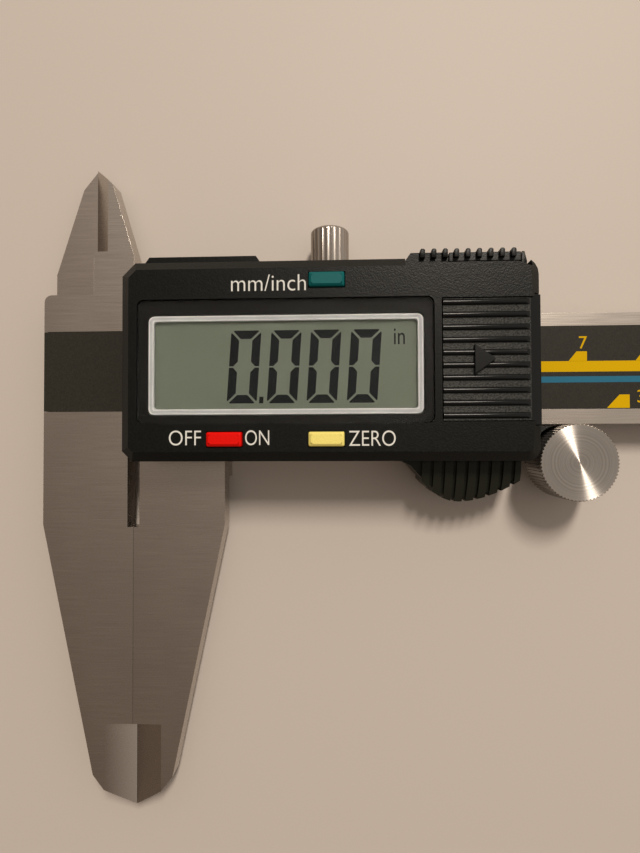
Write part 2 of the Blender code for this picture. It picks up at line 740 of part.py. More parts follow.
def make_scale():
    """The capacitive strip glued in the beam's front recess, and the printed film over it."""
    low = LABEL_MIDDLE - LABEL_WIDTH / 2
    high = LABEL_MIDDLE + LABEL_WIDTH / 2
    stator_low = -RECESS_DEPTH + GLUE_GAP
    stator = block_mesh(
        "scale_stator",
        (HEAD_LEFT + SEAT_GAP, low + GLUE_GAP, stator_low),
        (BEAM_END - SEAT_GAP, high - GLUE_GAP, stator_low + STATOR_THICKNESS),
    )
    piece("scale_stator", stator, fibreglass)
    film = block_mesh(
        "scale_label",
        (HEAD_LEFT, low, -LABEL_THICKNESS),
        (BEAM_END, high, 0.0),
    )
    piece("scale_label", film, label_black)


def stop_middle():
    return BEAM_END - STOP_INSET - STOP_LENGTH / 2


def stop_screw_heights():
    return (BEAM_MIDDLE - STOP_SCREW_SPREAD, BEAM_MIDDLE + STOP_SCREW_SPREAD)


def make_end_stop():
    """The small plate behind the beam's far end that keeps the slider and the rod on."""
    top = BEAM_BACK - GLUE_GAP
    back = top - STOP_THICKNESS
    half_height = STOP_SCREW_SPREAD + 2 * SMALL_SCREW_HEAD_RADIUS
    outline = rounded_box(
        stop_middle() - STOP_LENGTH / 2,
        stop_middle() + STOP_LENGTH / 2,
        BEAM_MIDDLE - half_height,
        BEAM_MIDDLE + half_height,
        PLATE_CORNER,
        3,
    )
    plate = piece("end_stop_plate", flat_mesh("end_stop_plate", outline, back, top), steel)
    cutters_here = []
    for number, up in enumerate(stop_screw_heights(), 1):
        foot = (stop_middle(), up, back + SCREW_SUNK)
        small_screw("end_stop_screw_%d" % number, foot, ROD_TOP - BEAM_BACK + STOP_THICKNESS - SEAT_GAP)
        cutters_here.append(
            small_screw_hole(foot, top + CUT_MARGIN)
        )
    for index, kind in enumerate(("sink", "taper", "shank")):
        cut(plate, merged(kind, [group[index] for group in cutters_here]), kind)


def small_screw(name, foot, reach):
    """One of the tiny countersunk screws at the back."""
    return countersunk_screw(
        name, foot, SMALL_SCREW_HEAD_RADIUS, SMALL_SCREW_HEAD, SMALL_SCREW_RADIUS, reach, nickel
    )


def small_screw_hole(foot, end_z):
    return countersunk_hole(foot, SMALL_SCREW_HEAD_RADIUS, SMALL_SCREW_HEAD, SMALL_SCREW_RADIUS, end_z)


def lower_wall_middle():
    return (SLIDER_LOW + CHANNEL_LOW) / 2


def upper_wall_middle():
    return (CHANNEL_HIGH + SLIDER_HIGH) / 2


def case_screw_places():
    return [(x, y) for y in (upper_wall_middle(), lower_wall_middle()) for x in CASE_SCREW_X]


def clamp_span():
    middle = ROD_FOOT_X + ROD_FOOT_LENGTH / 2
    return middle - CLAMP_LENGTH / 2, middle + CLAMP_LENGTH / 2


def clamp_screw_places():
    left, right = clamp_span()
    return [(left + CLAMP_SCREW_INSET, BEAM_MIDDLE), (right - CLAMP_SCREW_INSET, BEAM_MIDDLE)]


CLAMP_BACK = SLIDER_BACK + SCREW_SUNK
CLAMP_TOP = CLAMP_BACK + CLAMP_THICKNESS
POCKET_TOP = CLAMP_TOP + GLUE_GAP
TONGUE_TOP = BRACKET_BACK + BRACKET_TONGUE_THICKNESS


def slider_back_outline():
    """The slider's back plate, with the pad behind the jaw and the arm to the moving blade."""
    blade_left = BLADE_EDGE_X - MOVING_BLADE_WIDTH
    relief_x = BLADE_EDGE_X - BLADE_RELIEF
    root_y = BEAM_WIDTH + BLADE_ROOT_HEIGHT
    arm_low = HEAD_TOP - BLADE_ARM_WIDTH
    return [
        (JAW_SLOT_WIDTH, SLIDER_LOW - JAW_PAD_DROP),
        (JAW_WIDTH, SLIDER_LOW - JAW_PAD_DROP),
        (JAW_WIDTH, SLIDER_LOW),
        (SLIDER_LENGTH, SLIDER_LOW),
        (SLIDER_LENGTH, SLIDER_HIGH),
        (UPPER_WALL_LEFT, SLIDER_HIGH),
        (UPPER_WALL_LEFT, HEAD_TOP),
        (relief_x, HEAD_TOP),
        (relief_x, root_y),
        (BLADE_EDGE_X, root_y),
        (BLADE_EDGE_X, BLADE_TIP_Y),
        (MOVING_BLADE_SHOULDER_X, BEAM_WIDTH + MOVING_BLADE_SHOULDER),
        (blade_left, BEAM_WIDTH + MOVING_BLADE_STRAIGHT),
        (blade_left, arm_low + 2 * HEAD_CORNER),
        (blade_left + 2 * HEAD_CORNER, arm_low),
        (JAW_SLOT_WIDTH, arm_low),
    ]


def make_slider_frame():
    """The slider: a steel channel round the beam, with the moving jaw and the moving blade."""
    back = flat_mesh("slider_frame", slider_back_outline(), SLIDER_BACK, CHANNEL_FLOOR)
    frame = piece("slider_frame", back, steel)
    deep = CHANNEL_FLOOR - BACK_WALL / 2
    lower = [
        (SLIDER_LENGTH, SLIDER_LOW),
        (SLIDER_LENGTH, CHANNEL_LOW),
        (JAW_SLOT_WIDTH, CHANNEL_LOW),
        (JAW_SLOT_WIDTH, SLIDER_LOW),
    ]
    join(frame, flat_mesh("lower_wall", lower, deep, 0.0), "lower_wall")
    upper = block_mesh(
        "upper_wall",
        (UPPER_WALL_LEFT, CHANNEL_HIGH, deep),
        (SLIDER_LENGTH, SLIDER_HIGH, 0.0),
    )
    join(frame, upper, "upper_wall")
    jaw = jaw_outline(1)
    jaw += [(JAW_WIDTH, SLIDER_LOW + LOWER_WALL / 2), (JAW_SLOT_WIDTH, SLIDER_LOW + LOWER_WALL / 2)]
    join(frame, flat_mesh("moving_jaw", jaw, CHANNEL_FLOOR, 0.0), "moving_jaw")
    cut(frame, outer_bevel(1), "jaw_bevel")
    blade_bevel = wedge(
        "blade_bevel",
        BLADE_EDGE_X - BLADE_BEVEL_WIDTH,
        BLADE_EDGE_X,
        SLIDER_BACK,
        CHANNEL_FLOOR - BLADE_EDGE,
        BEAM_WIDTH + BLADE_ROOT_HEIGHT,
        BLADE_TIP_Y + CUT_MARGIN,
    )
    cut(frame, blade_bevel, "blade_bevel")
    cut_slider_screw_holes(frame)
    cut_clamp_pocket(frame)
    cut_tongue_pocket(frame)


def cut_slider_screw_holes(frame):
    """Holes from the back for the case screws, and across for the gib and lock screws."""
    groups = [
        countersunk_hole(
            (x, y, SLIDER_BACK + SCREW_SUNK),
            CASE_SCREW_HEAD_RADIUS,
            CASE_SCREW_HEAD,
            CASE_SCREW_RADIUS,
            CUT_MARGIN,
        )
        for x, y in case_screw_places()
    ]
    for index, kind in enumerate(("sink", "taper", "shank")):
        cut(frame, merged(kind, [group[index] for group in groups]), "case_" + kind)
    low = CHANNEL_HIGH - CUT_MARGIN / 2
    high = SLIDER_HIGH + CUT_MARGIN
    across = [
        rod_mesh("hole", (x, low, WALL_MIDDLE_Z), (x, high, WALL_MIDDLE_Z), radius + PIN_GAP)
        for x, radius in (
            (GIB_SCREW_X[0], GIB_SCREW_RADIUS),
            (LOCK_X, LOCK_SHAFT_RADIUS),
            (GIB_SCREW_X[1], GIB_SCREW_RADIUS),
        )
    ]
    cut(frame, merged("top_holes", across), "top_holes")


def cut_clamp_pocket(frame):
    """The shallow pocket for the rod clamp, the slot for the rod's foot and two screw holes."""
    left, right = clamp_span()
    half = CLAMP_WIDTH / 2 + PORT_PLUG_GAP
    pocket = block_mesh(
        "pocket",
        (left - PORT_PLUG_GAP, BEAM_MIDDLE - half, SLIDER_BACK - CUT_MARGIN),
        (right + PORT_PLUG_GAP, BEAM_MIDDLE + half, POCKET_TOP),
    )
    cut(frame, pocket, "clamp_pocket")
    half_foot = ROD_WIDTH / 2 + ROD_GROOVE_GAP
    slot = block_mesh(
        "slot",
        (ROD_FOOT_X - ROD_GROOVE_GAP, BEAM_MIDDLE - half_foot, POCKET_TOP - CUT_MARGIN / 2),
        (ROD_FOOT_X + ROD_FOOT_LENGTH + ROD_GROOVE_GAP, BEAM_MIDDLE + half_foot, CUT_MARGIN - BEAM_THICKNESS),
    )
    cut(frame, slot, "foot_slot")
    holes = [
        rod_mesh("hole", (x, y, SLIDER_BACK), (x, y, CHANNEL_FLOOR - SEAT_GAP), SMALL_SCREW_RADIUS + PIN_GAP, 12)
        for x, y in clamp_screw_places()
    ]
    cut(frame, merged("clamp_holes", holes), "clamp_holes")


def cut_tongue_pocket(frame):
    """The pocket at the lower right of the back for the roller bracket's tongue and screw."""
    pocket = block_mesh(
        "tongue_pocket",
        (
            SLIDER_LENGTH + SEAT_GAP - BRACKET_TONGUE - PORT_PLUG_GAP,
            tongue_low() - PORT_PLUG_GAP,
            SLIDER_BACK - CUT_MARGIN,
        ),
        (SLIDER_LENGTH + CUT_MARGIN, tongue_high() + PORT_PLUG_GAP, TONGUE_TOP + GLUE_GAP),
    )
    cut(frame, pocket, "tongue_pocket")
    x, y, foot = bracket_screw_place()
    hole = rod_mesh("hole", (x, y, foot), (x, y, WALL_MIDDLE_Z), SMALL_SCREW_RADIUS + PIN_GAP, 12)
    cut(frame, hole, "tongue_hole")


def tongue_low():
    return SLIDER_LOW + TONGUE_MARGIN


def tongue_high():
    return CHANNEL_LOW - TONGUE_MARGIN


def bracket_screw_place():
    return SLIDER_LENGTH - BRACKET_TONGUE / 2, lower_wall_middle(), BRACKET_BACK + SCREW_SUNK


def make_case_screws():
    for number, (x, y) in enumerate(case_screw_places(), 1):
        foot = (x, y, SLIDER_BACK + SCREW_SUNK)
        countersunk_screw(
            "case_screw_%d" % number,
            foot,
            CASE_SCREW_HEAD_RADIUS,
            CASE_SCREW_HEAD,
            CASE_SCREW_RADIUS,
            CASE_SCREW_REACH - SLIDER_BACK - SCREW_SUNK,
            nickel,
        )


def make_gib():
    """The brass strip between the beam and the upper wall, and its two set screws."""
    middle = WALL_MIDDLE_Z
    strip = block_mesh(
        "gib_strip",
        (UPPER_WALL_LEFT + SEAT_GAP, GIB_LOW, middle - GIB_WIDTH / 2),
        (SLIDER_LENGTH - SEAT_GAP, GIB_LOW + GIB_THICKNESS, middle + GIB_WIDTH / 2),
    )
    piece("gib_strip", strip, brass)
    for number, x in enumerate(GIB_SCREW_X, 1):
        start = (x, CHANNEL_HIGH + GLUE_GAP, middle)
        end = (x, SLIDER_HIGH - SEAT_GAP, middle)
        screw = piece("gib_screw_%d" % number, rod_mesh("gib_screw", start, end, GIB_SCREW_RADIUS), nickel)
        smooth(screw)


def make_lock_screw():
    """The knurled lock screw: a fluted, domed knob on a plain shank, on its own axis."""
    knob_foot = BEAM_WIDTH + KNOB_FOOT
    knob = flat_mesh(
        "lock_screw",
        toothed_circle((0.0, 0.0), KNOB_RADIUS - FLUTE_DEPTH, FLUTE_DEPTH, KNOB_FLUTES),
        0.0,
        KNOB_LENGTH,
    )
    rim = KNOB_RADIUS + GLUE_GAP
    profile = [(0.0, KNOB_LENGTH + KNOB_MARGIN)]
    for step in range(1, 6):
        angle = math.radians(90 - 18 * step)
        reach = rim - KNOB_DOME_WIDTH + KNOB_DOME_WIDTH * math.cos(angle)
        profile.append((reach, KNOB_LENGTH - KNOB_DOME + KNOB_DOME * math.sin(angle)))
    profile += [(rim, KNOB_CHAMFER), (rim - KNOB_CHAMFER, -KNOB_MARGIN), (0.0, -KNOB_MARGIN)]
    envelope = turned_mesh("knob_envelope", profile, ROUND_SIDES)
    shank = rod_mesh("shank", (0, 0, CHANNEL_HIGH + GLUE_GAP - knob_foot), (0, 0, KNOB_DOME), LOCK_SHAFT_RADIUS)
    upright = Matrix.Rotation(-math.pi / 2, 4, "X")
    lift = Matrix.Translation((LOCK_X, knob_foot, WALL_MIDDLE_Z))
    for mesh in (knob, envelope, shank):
        mesh.transform(lift @ upright)
    made = piece("lock_screw", knob, nickel, (LOCK_X, knob_foot, WALL_MIDDLE_Z))
    keep(made, envelope, "dome")
    join(made, shank, "shank")
    smooth(made, 25)


def make_depth_rod():
    """The flat rod in the beam's back groove, with the foot that the slider carries."""
    low_z = BEAM_BACK + ROD_GROOVE_GAP
    half = ROD_WIDTH / 2
    side = [
        (ROD_FOOT_X, POCKET_TOP),
        (ROD_FOOT_X + ROD_FOOT_LENGTH, POCKET_TOP),
        (ROD_FOOT_X + ROD_FOOT_LENGTH, low_z),
        (BEAM_END, low_z),
        (BEAM_END, ROD_TOP),
        (ROD_FOOT_X, ROD_TOP),
    ]
    mesh = flat_mesh("depth_rod", side, -(BEAM_MIDDLE + half), -(BEAM_MIDDLE - half), ALONG_MINUS_Y)
    rod = piece("depth_rod", mesh, steel)
    relief = [
        (BEAM_END - ROD_POINT, BEAM_MIDDLE - half - SEAT_GAP),
        (BEAM_END + SEAT_GAP, BEAM_MIDDLE - half - SEAT_GAP),
        (BEAM_END + SEAT_GAP, BEAM_MIDDLE - half + ROD_POINT + SEAT_GAP),
    ]
    cut(rod, flat_mesh("relief", relief, low_z - SEAT_GAP, ROD_TOP + SEAT_GAP), "corner_relief")
    left, right = clamp_span()
    half_clamp = CLAMP_WIDTH / 2
    low = BEAM_MIDDLE - half_clamp
    plate_outline = rounded_box(left, right, low, BEAM_MIDDLE + half_clamp, PLATE_CORNER, 3)
    plate = piece("rod_clamp", flat_mesh("rod_clamp", plate_outline, CLAMP_BACK, CLAMP_TOP), steel)
    groups = []
    for number, (x, y) in enumerate(clamp_screw_places(), 1):
        place = (x, y, CLAMP_BACK + SCREW_SUNK / 2)
        small_screw("rod_clamp_screw_%d" % number, place, CLAMP_SCREW_REACH)
        groups.append(
            small_screw_hole(place, CHANNEL_FLOOR)
        )
    for index, kind in enumerate(("sink", "taper", "shank")):
        cut(plate, merged(kind, [group[index] for group in groups]), kind)


INNER_LEFT = CASE_LEFT + CASE_WALL
INNER_RIGHT = CASE_RIGHT - CASE_WALL
INNER_LOW = CASE_LOW + CASE_WALL
INNER_HIGH = CASE_HIGH - CASE_WALL
BOSS_RADIUS = CASE_SCREW_RADIUS + PIN_GAP + BOSS_WALL
PARTITION_RIGHT = COVER_LEFT - COVER_GAP
PARTITION_LEFT = PARTITION_RIGHT - CASE_WALL + SEAT_GAP
CORNER_STEPS = 5


def case_outline():
    """The case seen from the front: two chamfered corners at the left, two round at the right."""
    round_high = CASE_CORNER_ROUND_HIGH
    round_low = CASE_CORNER_ROUND_LOW
    outline = [
        (CASE_LEFT + CASE_CORNER_CUT_LOW, CASE_LOW),
        (CASE_LEFT, CASE_LOW + CASE_CORNER_CUT_LOW),
        (CASE_LEFT, CASE_HIGH - CASE_CORNER_CUT_HIGH),
        (CASE_LEFT + CASE_CORNER_CUT_HIGH, CASE_HIGH),
    ]
    outline += reversed(arc((CASE_RIGHT - round_high, CASE_HIGH - round_high), round_high, 0, 90, CORNER_STEPS))
    outline += reversed(arc((CASE_RIGHT - round_low, CASE_LOW + round_low), round_low, -90, 0, CORNER_STEPS))
    return outline


def ramped_strip(name, left, right, left_ramp, right_ramp):
    """A raised strip along the case's upper side, with sloping ends."""
    base = CASE_HIGH - CASE_WALL / 2
    outline = [
        (left, base),
        (left, CASE_HIGH),
        (left + left_ramp, PLATFORM_TOP),
        (right - right_ramp, PLATFORM_TOP),
        (right, CASE_HIGH),
        (right, base),
    ]
    return flat_mesh(name, outline, CASE_FOOT, STRIP_HEIGHT)


def top_ribs(first, count, name):
    """Grip ribs that stand across the upper strip."""
    ribs = []
    for index in range(first, first + count):
        middle = FIRST_TOP_RIB_X + index * TOP_RIB_PITCH
        half = TOP_RIB_WIDTH / 2
        outline = [
            (middle - half, PLATFORM_TOP - TOP_RIB_DEPTH),
            (middle + half, PLATFORM_TOP - TOP_RIB_DEPTH),
            (middle + half, PLATFORM_TOP + TOP_RIB_RISE / 2),
            (middle + half / 2, PLATFORM_TOP + TOP_RIB_RISE),
            (middle - half / 2, PLATFORM_TOP + TOP_RIB_RISE),
            (middle - half, PLATFORM_TOP + TOP_RIB_RISE / 2),
        ]
        ribs.append(flat_mesh("rib", outline, CASE_FOOT + SEAT_GAP, STRIP_HEIGHT + TOP_RIB_PROUD))
    return merged(name, ribs)


def rest_depth(x):
    """How far the thumb rest stands below the case at a place along it."""
    if x < REST_LOWEST_X:
        share = (x - REST_X[0]) / (REST_LOWEST_X - REST_X[0])
        return REST_REACH * math.sin(share * math.pi / 2)
    share = (x - REST_LOWEST_X) / (REST_VANISH_X - REST_LOWEST_X)
    return REST_REACH * math.cos(share * math.pi / 2)


def thumb_rest(name, shrink):
    """The thumb rest: its front view, cut to the slope that the thumb presses on."""
    steps = 14
    inner = CASE_LOW + SEAT_GAP
    outline = [(REST_X[0], inner)]
    for step in range(steps + 1):
        x = REST_X[0] + (REST_X[1] - REST_X[0]) * step / steps
        depth = max(rest_depth(x) - shrink, shrink * 0.3)
        outline.append((x, CASE_LOW - depth))
    outline.append((REST_X[1], inner))
    rest = flat_mesh(name, outline, REST_FOOT, REST_TOP + CUT_MARGIN)
    slope = [(inner + CUT_MARGIN, REST_TOP - shrink)]
    for step in range(7):
        share = step / 6
        y = inner - share * (SEAT_GAP + REST_REACH - shrink)
        z = REST_RIM + (REST_TOP - shrink - REST_RIM) * math.cos(share * math.pi / 2)
        slope.append((y, z))
    low = CASE_LOW - REST_REACH - CUT_MARGIN
    slope += [(low, REST_RIM), (low, REST_FOOT - CUT_MARGIN), (inner + CUT_MARGIN, REST_FOOT - CUT_MARGIN)]
    return rest, flat_mesh("slope", slope, REST_X[0] - CUT_MARGIN, REST_X[1] + CUT_MARGIN, ALONG_X)


def applied(made):
    """The mesh of an object with its modifiers worked out, in the datum's frame."""
    bpy.context.view_layer.update()
    evaluated = made.evaluated_get(bpy.context.evaluated_depsgraph_get())
    mesh = bpy.data.meshes.new_from_object(evaluated)
    for step in made.modifiers:
        bpy.data.objects.remove(step.object, do_unlink=True)
    bpy.data.objects.remove(made, do_unlink=True)
    return mesh


def rest_meshes():
    """The plain body of the thumb rest, and its ribs as a comb cut from a slightly larger one."""
    outline, slope = thumb_rest("thumb_rest", REST_RIB_RISE)
    body = tool(outline, "thumb_rest_body")
    keep(body, slope, "slope")
    body_mesh = applied(body)
    outline, slope = thumb_rest("thumb_ribs", 0.0)
    ribs = tool(outline, "thumb_rest_ribs")
    keep(ribs, slope, "slope")
    comb = []
    for index in range(REST_RIBS):
        middle = FIRST_REST_RIB_X + index * REST_RIB_PITCH
        half = REST_RIB_WIDTH / 2
        low = (middle - half, CASE_LOW - REST_REACH - CUT_MARGIN, REST_FOOT + SEAT_GAP)
        comb.append(block_mesh("tooth", low, (middle + half, CASE_LOW + SEAT_GAP / 2, REST_TOP + CUT_MARGIN)))
    keep(ribs, merged("comb", comb), "comb")
    return body_mesh, applied(ribs)


def button_places():
    return {
        "unit_button": (UNIT_BUTTON_X, UPPER_BUTTON_Y, teal),
        "power_button": (POWER_BUTTON_X, LOWER_BUTTON_Y, red),
        "zero_button": (ZERO_BUTTON_X, LOWER_BUTTON_Y, cream),
    }


def make_case():
    """The moulded case: a shell open to the slider, with all that the front shows."""
    shell = flat_mesh("front_case", case_outline(), CASE_FOOT, CASE_TOP)
    bevel_edges(shell, CASE_BEVEL, 1, lambda point: point.z > CASE_TOP - GLUE_GAP)
    case = piece("front_case", shell, black_plastic)
    hollow = block_mesh(
        "hollow", (INNER_LEFT, INNER_LOW, CASE_FOOT - CUT_MARGIN), (INNER_RIGHT, INNER_HIGH, CASE_CEILING)
    )
    cut(case, hollow, "hollow")
    partition = block_mesh(
        "partition",
        (PARTITION_LEFT, INNER_LOW - SEAT_GAP, BOARD_TOP + SEAT_GAP),
        (PARTITION_RIGHT, INNER_HIGH + SEAT_GAP, CASE_CEILING + SEAT_GAP),
    )
    join(case, partition, "partition")
    bosses = [
        rod_mesh("boss", (x, y, BOARD_TOP + SEAT_GAP), (x, y, CASE_CEILING + SEAT_GAP), BOSS_RADIUS)
        for x, y in case_screw_places()
    ]
    join(case, merged("bosses", bosses), "bosses")
    shoulder = block_mesh(
        "shoulder",
        (PLATFORM_X[0] - CASE_WALL, INNER_HIGH - CASE_WALL, PORT_Z[1] + SEAT_GAP),
        (INNER_RIGHT + SEAT_GAP, INNER_HIGH + SEAT_GAP, CASE_CEILING + SEAT_GAP),
    )
    join(case, shoulder, "shoulder")
    notch = block_mesh(
        "notch",
        (PLATFORM_X[0], CASE_HIGH - PLATFORM_NOTCH, STRIP_HEIGHT + GLUE_GAP),
        (PLATFORM_X[1], CASE_HIGH + CUT_MARGIN, CASE_TOP + CUT_MARGIN),
    )
    cut(case, notch, "notch")
    strip = ramped_strip("strip", STRIP_X[0], STRIP_X[1], STRIP_RAMP, STRIP_RAMP)
    platform = ramped_strip("platform", PLATFORM_X[0], PORT_COVER_X[0], STRIP_RAMP, 0.0)
    stub = ramped_strip("stub", PORT_COVER_X[1], PLATFORM_X[1], 0.0, (PLATFORM_X[1] - PORT_COVER_X[1]) / 2)
    join(case, merged("strips", [strip, platform, stub]), "strips")
    join(case, top_ribs(0, TOP_RIBS_FIXED, "fixed_ribs"), "top_ribs")
    body, ribs = rest_meshes()
    join(case, body, "thumb_rest")
    join(case, ribs, "thumb_ribs")
    cut_window(case)
    cut_case_openings(case)


def cut_window(case):
    """The recess that the window lies in, and the opening for the display behind it."""
    recess = rounded_box(
        WINDOW_X[0] - GLUE_GAP * 2,
        WINDOW_X[1] + GLUE_GAP * 2,
        WINDOW_Y[0] - GLUE_GAP * 2,
        WINDOW_Y[1] + GLUE_GAP * 2,
        WINDOW_CORNER,
    )
    cut(case, flat_mesh("recess", recess, WINDOW_LEDGE, CASE_TOP + CUT_MARGIN), "window_recess")
    opening = rounded_box(
        BEZEL_X[0] - GLUE_GAP * 2,
        BEZEL_X[1] + GLUE_GAP * 2,
        BEZEL_Y[0] - GLUE_GAP * 2,
        BEZEL_Y[1] + GLUE_GAP * 2,
        BEZEL_CORNER,
    )
    cut(case, flat_mesh("opening", opening, CASE_CEILING - SEAT_GAP, CASE_TOP), "display_opening")


def cut_case_openings(case):
    """Openings for the screws, the buttons, the battery cover and the data port."""
    holes = [
        rod_mesh("hole", (x, y, CASE_FOOT), (x, y, CASE_SCREW_REACH + SEAT_GAP), CASE_SCREW_RADIUS + PIN_GAP)
        for x, y in case_screw_places()
    ]
    cut(case, merged("screw_holes", holes), "screw_holes")
    slots = []
    for x, y, finish in button_places().values():
        half_length = BUTTON_LENGTH / 2 + BUTTON_GAP
        half_width = BUTTON_WIDTH / 2 + BUTTON_GAP
        low = (x - half_length, y - half_width, CASE_CEILING - SEAT_GAP)
        slots.append(block_mesh("slot", low, (x + half_length, y + half_width, CASE_TOP + CUT_MARGIN)))
    cut(case, merged("button_slots", slots), "button_slots")
    mouth = block_mesh(
        "mouth",
        (COVER_LEFT - COVER_GAP, COVER_Y[0] - COVER_GAP, BOARD_TOP),
        (CASE_RIGHT + CUT_MARGIN, COVER_Y[1] + COVER_GAP, CASE_TOP + CUT_MARGIN),
    )
    cut(case, mouth, "battery_mouth")
    grooves = block_mesh(
        "grooves",
        (COVER_LEFT - COVER_GAP, COVER_Y[0] - COVER_LIP - COVER_GAP, CASE_CEILING - SEAT_GAP),
        (
            CASE_RIGHT + CUT_MARGIN,
            COVER_Y[1] + COVER_LIP + COVER_GAP,
            COVER_FOOT + COVER_LIP_THICKNESS + COVER_GAP,
        ),
    )
    cut(case, grooves, "cover_grooves")
    port = block_mesh(
        "port",
        (PORT_X[0], INNER_HIGH - CASE_WALL, PORT_Z[0]),
        (PORT_X[1], PLATFORM_TOP + CUT_MARGIN, PORT_Z[1]),
    )
    cut(case, port, "data_port")


def make_window_and_display():
    """The clear window, the silver bezel, the display glass and its two rubber connectors."""
    pane = rounded_box(*WINDOW_X, *WINDOW_Y, WINDOW_CORNER)
    pane_mesh = flat_mesh("display_window", pane, WINDOW_FOOT, WINDOW_FOOT + WINDOW_THICKNESS)
    piece("display_window", pane_mesh, clear)
    outer = rounded_box(*BEZEL_X, *BEZEL_Y, BEZEL_CORNER)
    bezel = piece("display_bezel", flat_mesh("display_bezel", outer, BEZEL_FOOT, BEZEL_TOP), silver)
    inner = rounded_box(
        BEZEL_X[0] + BEZEL_WIDTH,
        BEZEL_X[1] - BEZEL_WIDTH,
        BEZEL_Y[0] + BEZEL_WIDTH,
        BEZEL_Y[1] - BEZEL_WIDTH,
        BEZEL_CORNER / 2,
    )
    cut(bezel, flat_mesh("inner", inner, BEZEL_FOOT - SEAT_GAP, BEZEL_TOP + SEAT_GAP), "sight")
    left = BEZEL_X[0] - GLASS_MARGIN
    right = BEZEL_X[1] + GLASS_MARGIN
    low = BEZEL_Y[0] - GLASS_MARGIN
    high = BEZEL_Y[1] + GLASS_MARGIN
    glass = block_mesh("display_glass", (left, low, GLASS_FOOT), (right, high, GLASS_TOP))
    piece("display_glass", glass, lcd_grey)
    for name, y in (("zebra_strip_low", low), ("zebra_strip_high", high - ZEBRA_WIDTH)):
        strip = block_mesh(
            name,
            (left + ZEBRA_INSET, y, BOARD_TOP + GLUE_GAP),
            (right - ZEBRA_INSET, y + ZEBRA_WIDTH, GLASS_FOOT - GLUE_GAP),
        )
        piece(name, strip, rubber_grey)


def make_board():
    """The circuit board over the beam's scale, its chip, and the port's contact block."""
    mesh = block_mesh(
        "circuit_board",
        (INNER_LEFT + BOARD_MARGIN, INNER_LOW + BOARD_MARGIN, BOARD_LOW),
        (INNER_RIGHT - BOARD_MARGIN, INNER_HIGH - BOARD_MARGIN, BOARD_TOP),
    )
    board = piece("circuit_board", mesh, board_green)
    holes = [
        rod_mesh("hole", (x, y, BOARD_LOW - SEAT_GAP), (x, y, BOARD_TOP + SEAT_GAP), CASE_SCREW_RADIUS + PIN_GAP)
        for x, y in case_screw_places()
    ]
    cut(board, merged("screw_holes", holes), "screw_holes")
    middle_x = (BEZEL_X[0] + BEZEL_X[1]) / 2
    middle_y = (BEZEL_Y[0] + BEZEL_Y[1]) / 2
    half = CHIP_SIZE / 2
    foot = BOARD_TOP + GLUE_GAP
    chip = block_mesh(
        "chip_cover",
        (middle_x - half, middle_y - half, foot),
        (middle_x + half, middle_y + half, foot + CHIP_HEIGHT),
    )
    bevel_edges(chip, CHIP_HEIGHT * 0.6, 3, lambda point: point.z > foot + CHIP_HEIGHT / 2)
    piece("chip_cover", chip, chip_black)
    connector = block_mesh(
        "port_contacts",
        (PORT_X[0] + SEAT_GAP, INNER_HIGH - BOARD_MARGIN - 3 * CASE_WALL, foot),
        (PORT_X[1] - SEAT_GAP, INNER_HIGH - BOARD_MARGIN, PORT_Z[1] - SEAT_GAP),
    )
    piece("port_contacts", connector, chip_black)


def make_buttons():
    """Three buttons in the case's front, each with a flange inside and a stem over its dome."""
    flange_top = CASE_CEILING - SEAT_GAP
    flange_low = flange_top - BUTTON_FLANGE_THICKNESS
    stem_foot = DOME_TOP + BUTTON_TRAVEL + GLUE_GAP * 2
    for name, (x, y, finish) in button_places().items():
        half_length = BUTTON_LENGTH / 2
        half_width = BUTTON_WIDTH / 2
        cap = block_mesh(
            name, (x - half_length, y - half_width, flange_low), (x + half_length, y + half_width, BUTTON_TOP)
        )
        bevel_edges(cap, BUTTON_ROUND, 2, lambda point: point.z > CASE_TOP)
        button = piece(name, cap, finish, (x, y, CASE_TOP))
        flange = block_mesh(
            "flange",
            (x - half_length - BUTTON_FLANGE, y - half_width, flange_low),
            (x + half_length + BUTTON_FLANGE, y + half_width, flange_top),
        )
        join(button, flange, "flange")
        stem = rod_mesh("stem", (x, y, stem_foot), (x, y, flange_top), BUTTON_STEM_RADIUS, 12)
        join(button, stem, "stem")
        dome_profile = [(0.0, DOME_TOP)]
        for step in range(1, 4):
            angle = math.radians(90 - 28 * step)
            dome_profile.append((DOME_RADIUS * math.cos(angle), DOME_TOP - DOME_HEIGHT * (1 - math.sin(angle))))
        dome_profile += [(DOME_RADIUS, BOARD_TOP + GLUE_GAP), (0.0, BOARD_TOP + GLUE_GAP)]
        dome = turned_mesh("dome", dome_profile, SMALL_SIDES)
        dome.transform(Matrix.Translation((x, y, 0.0)))
        smooth(piece(name.replace("button", "dome"), dome, spring_steel))


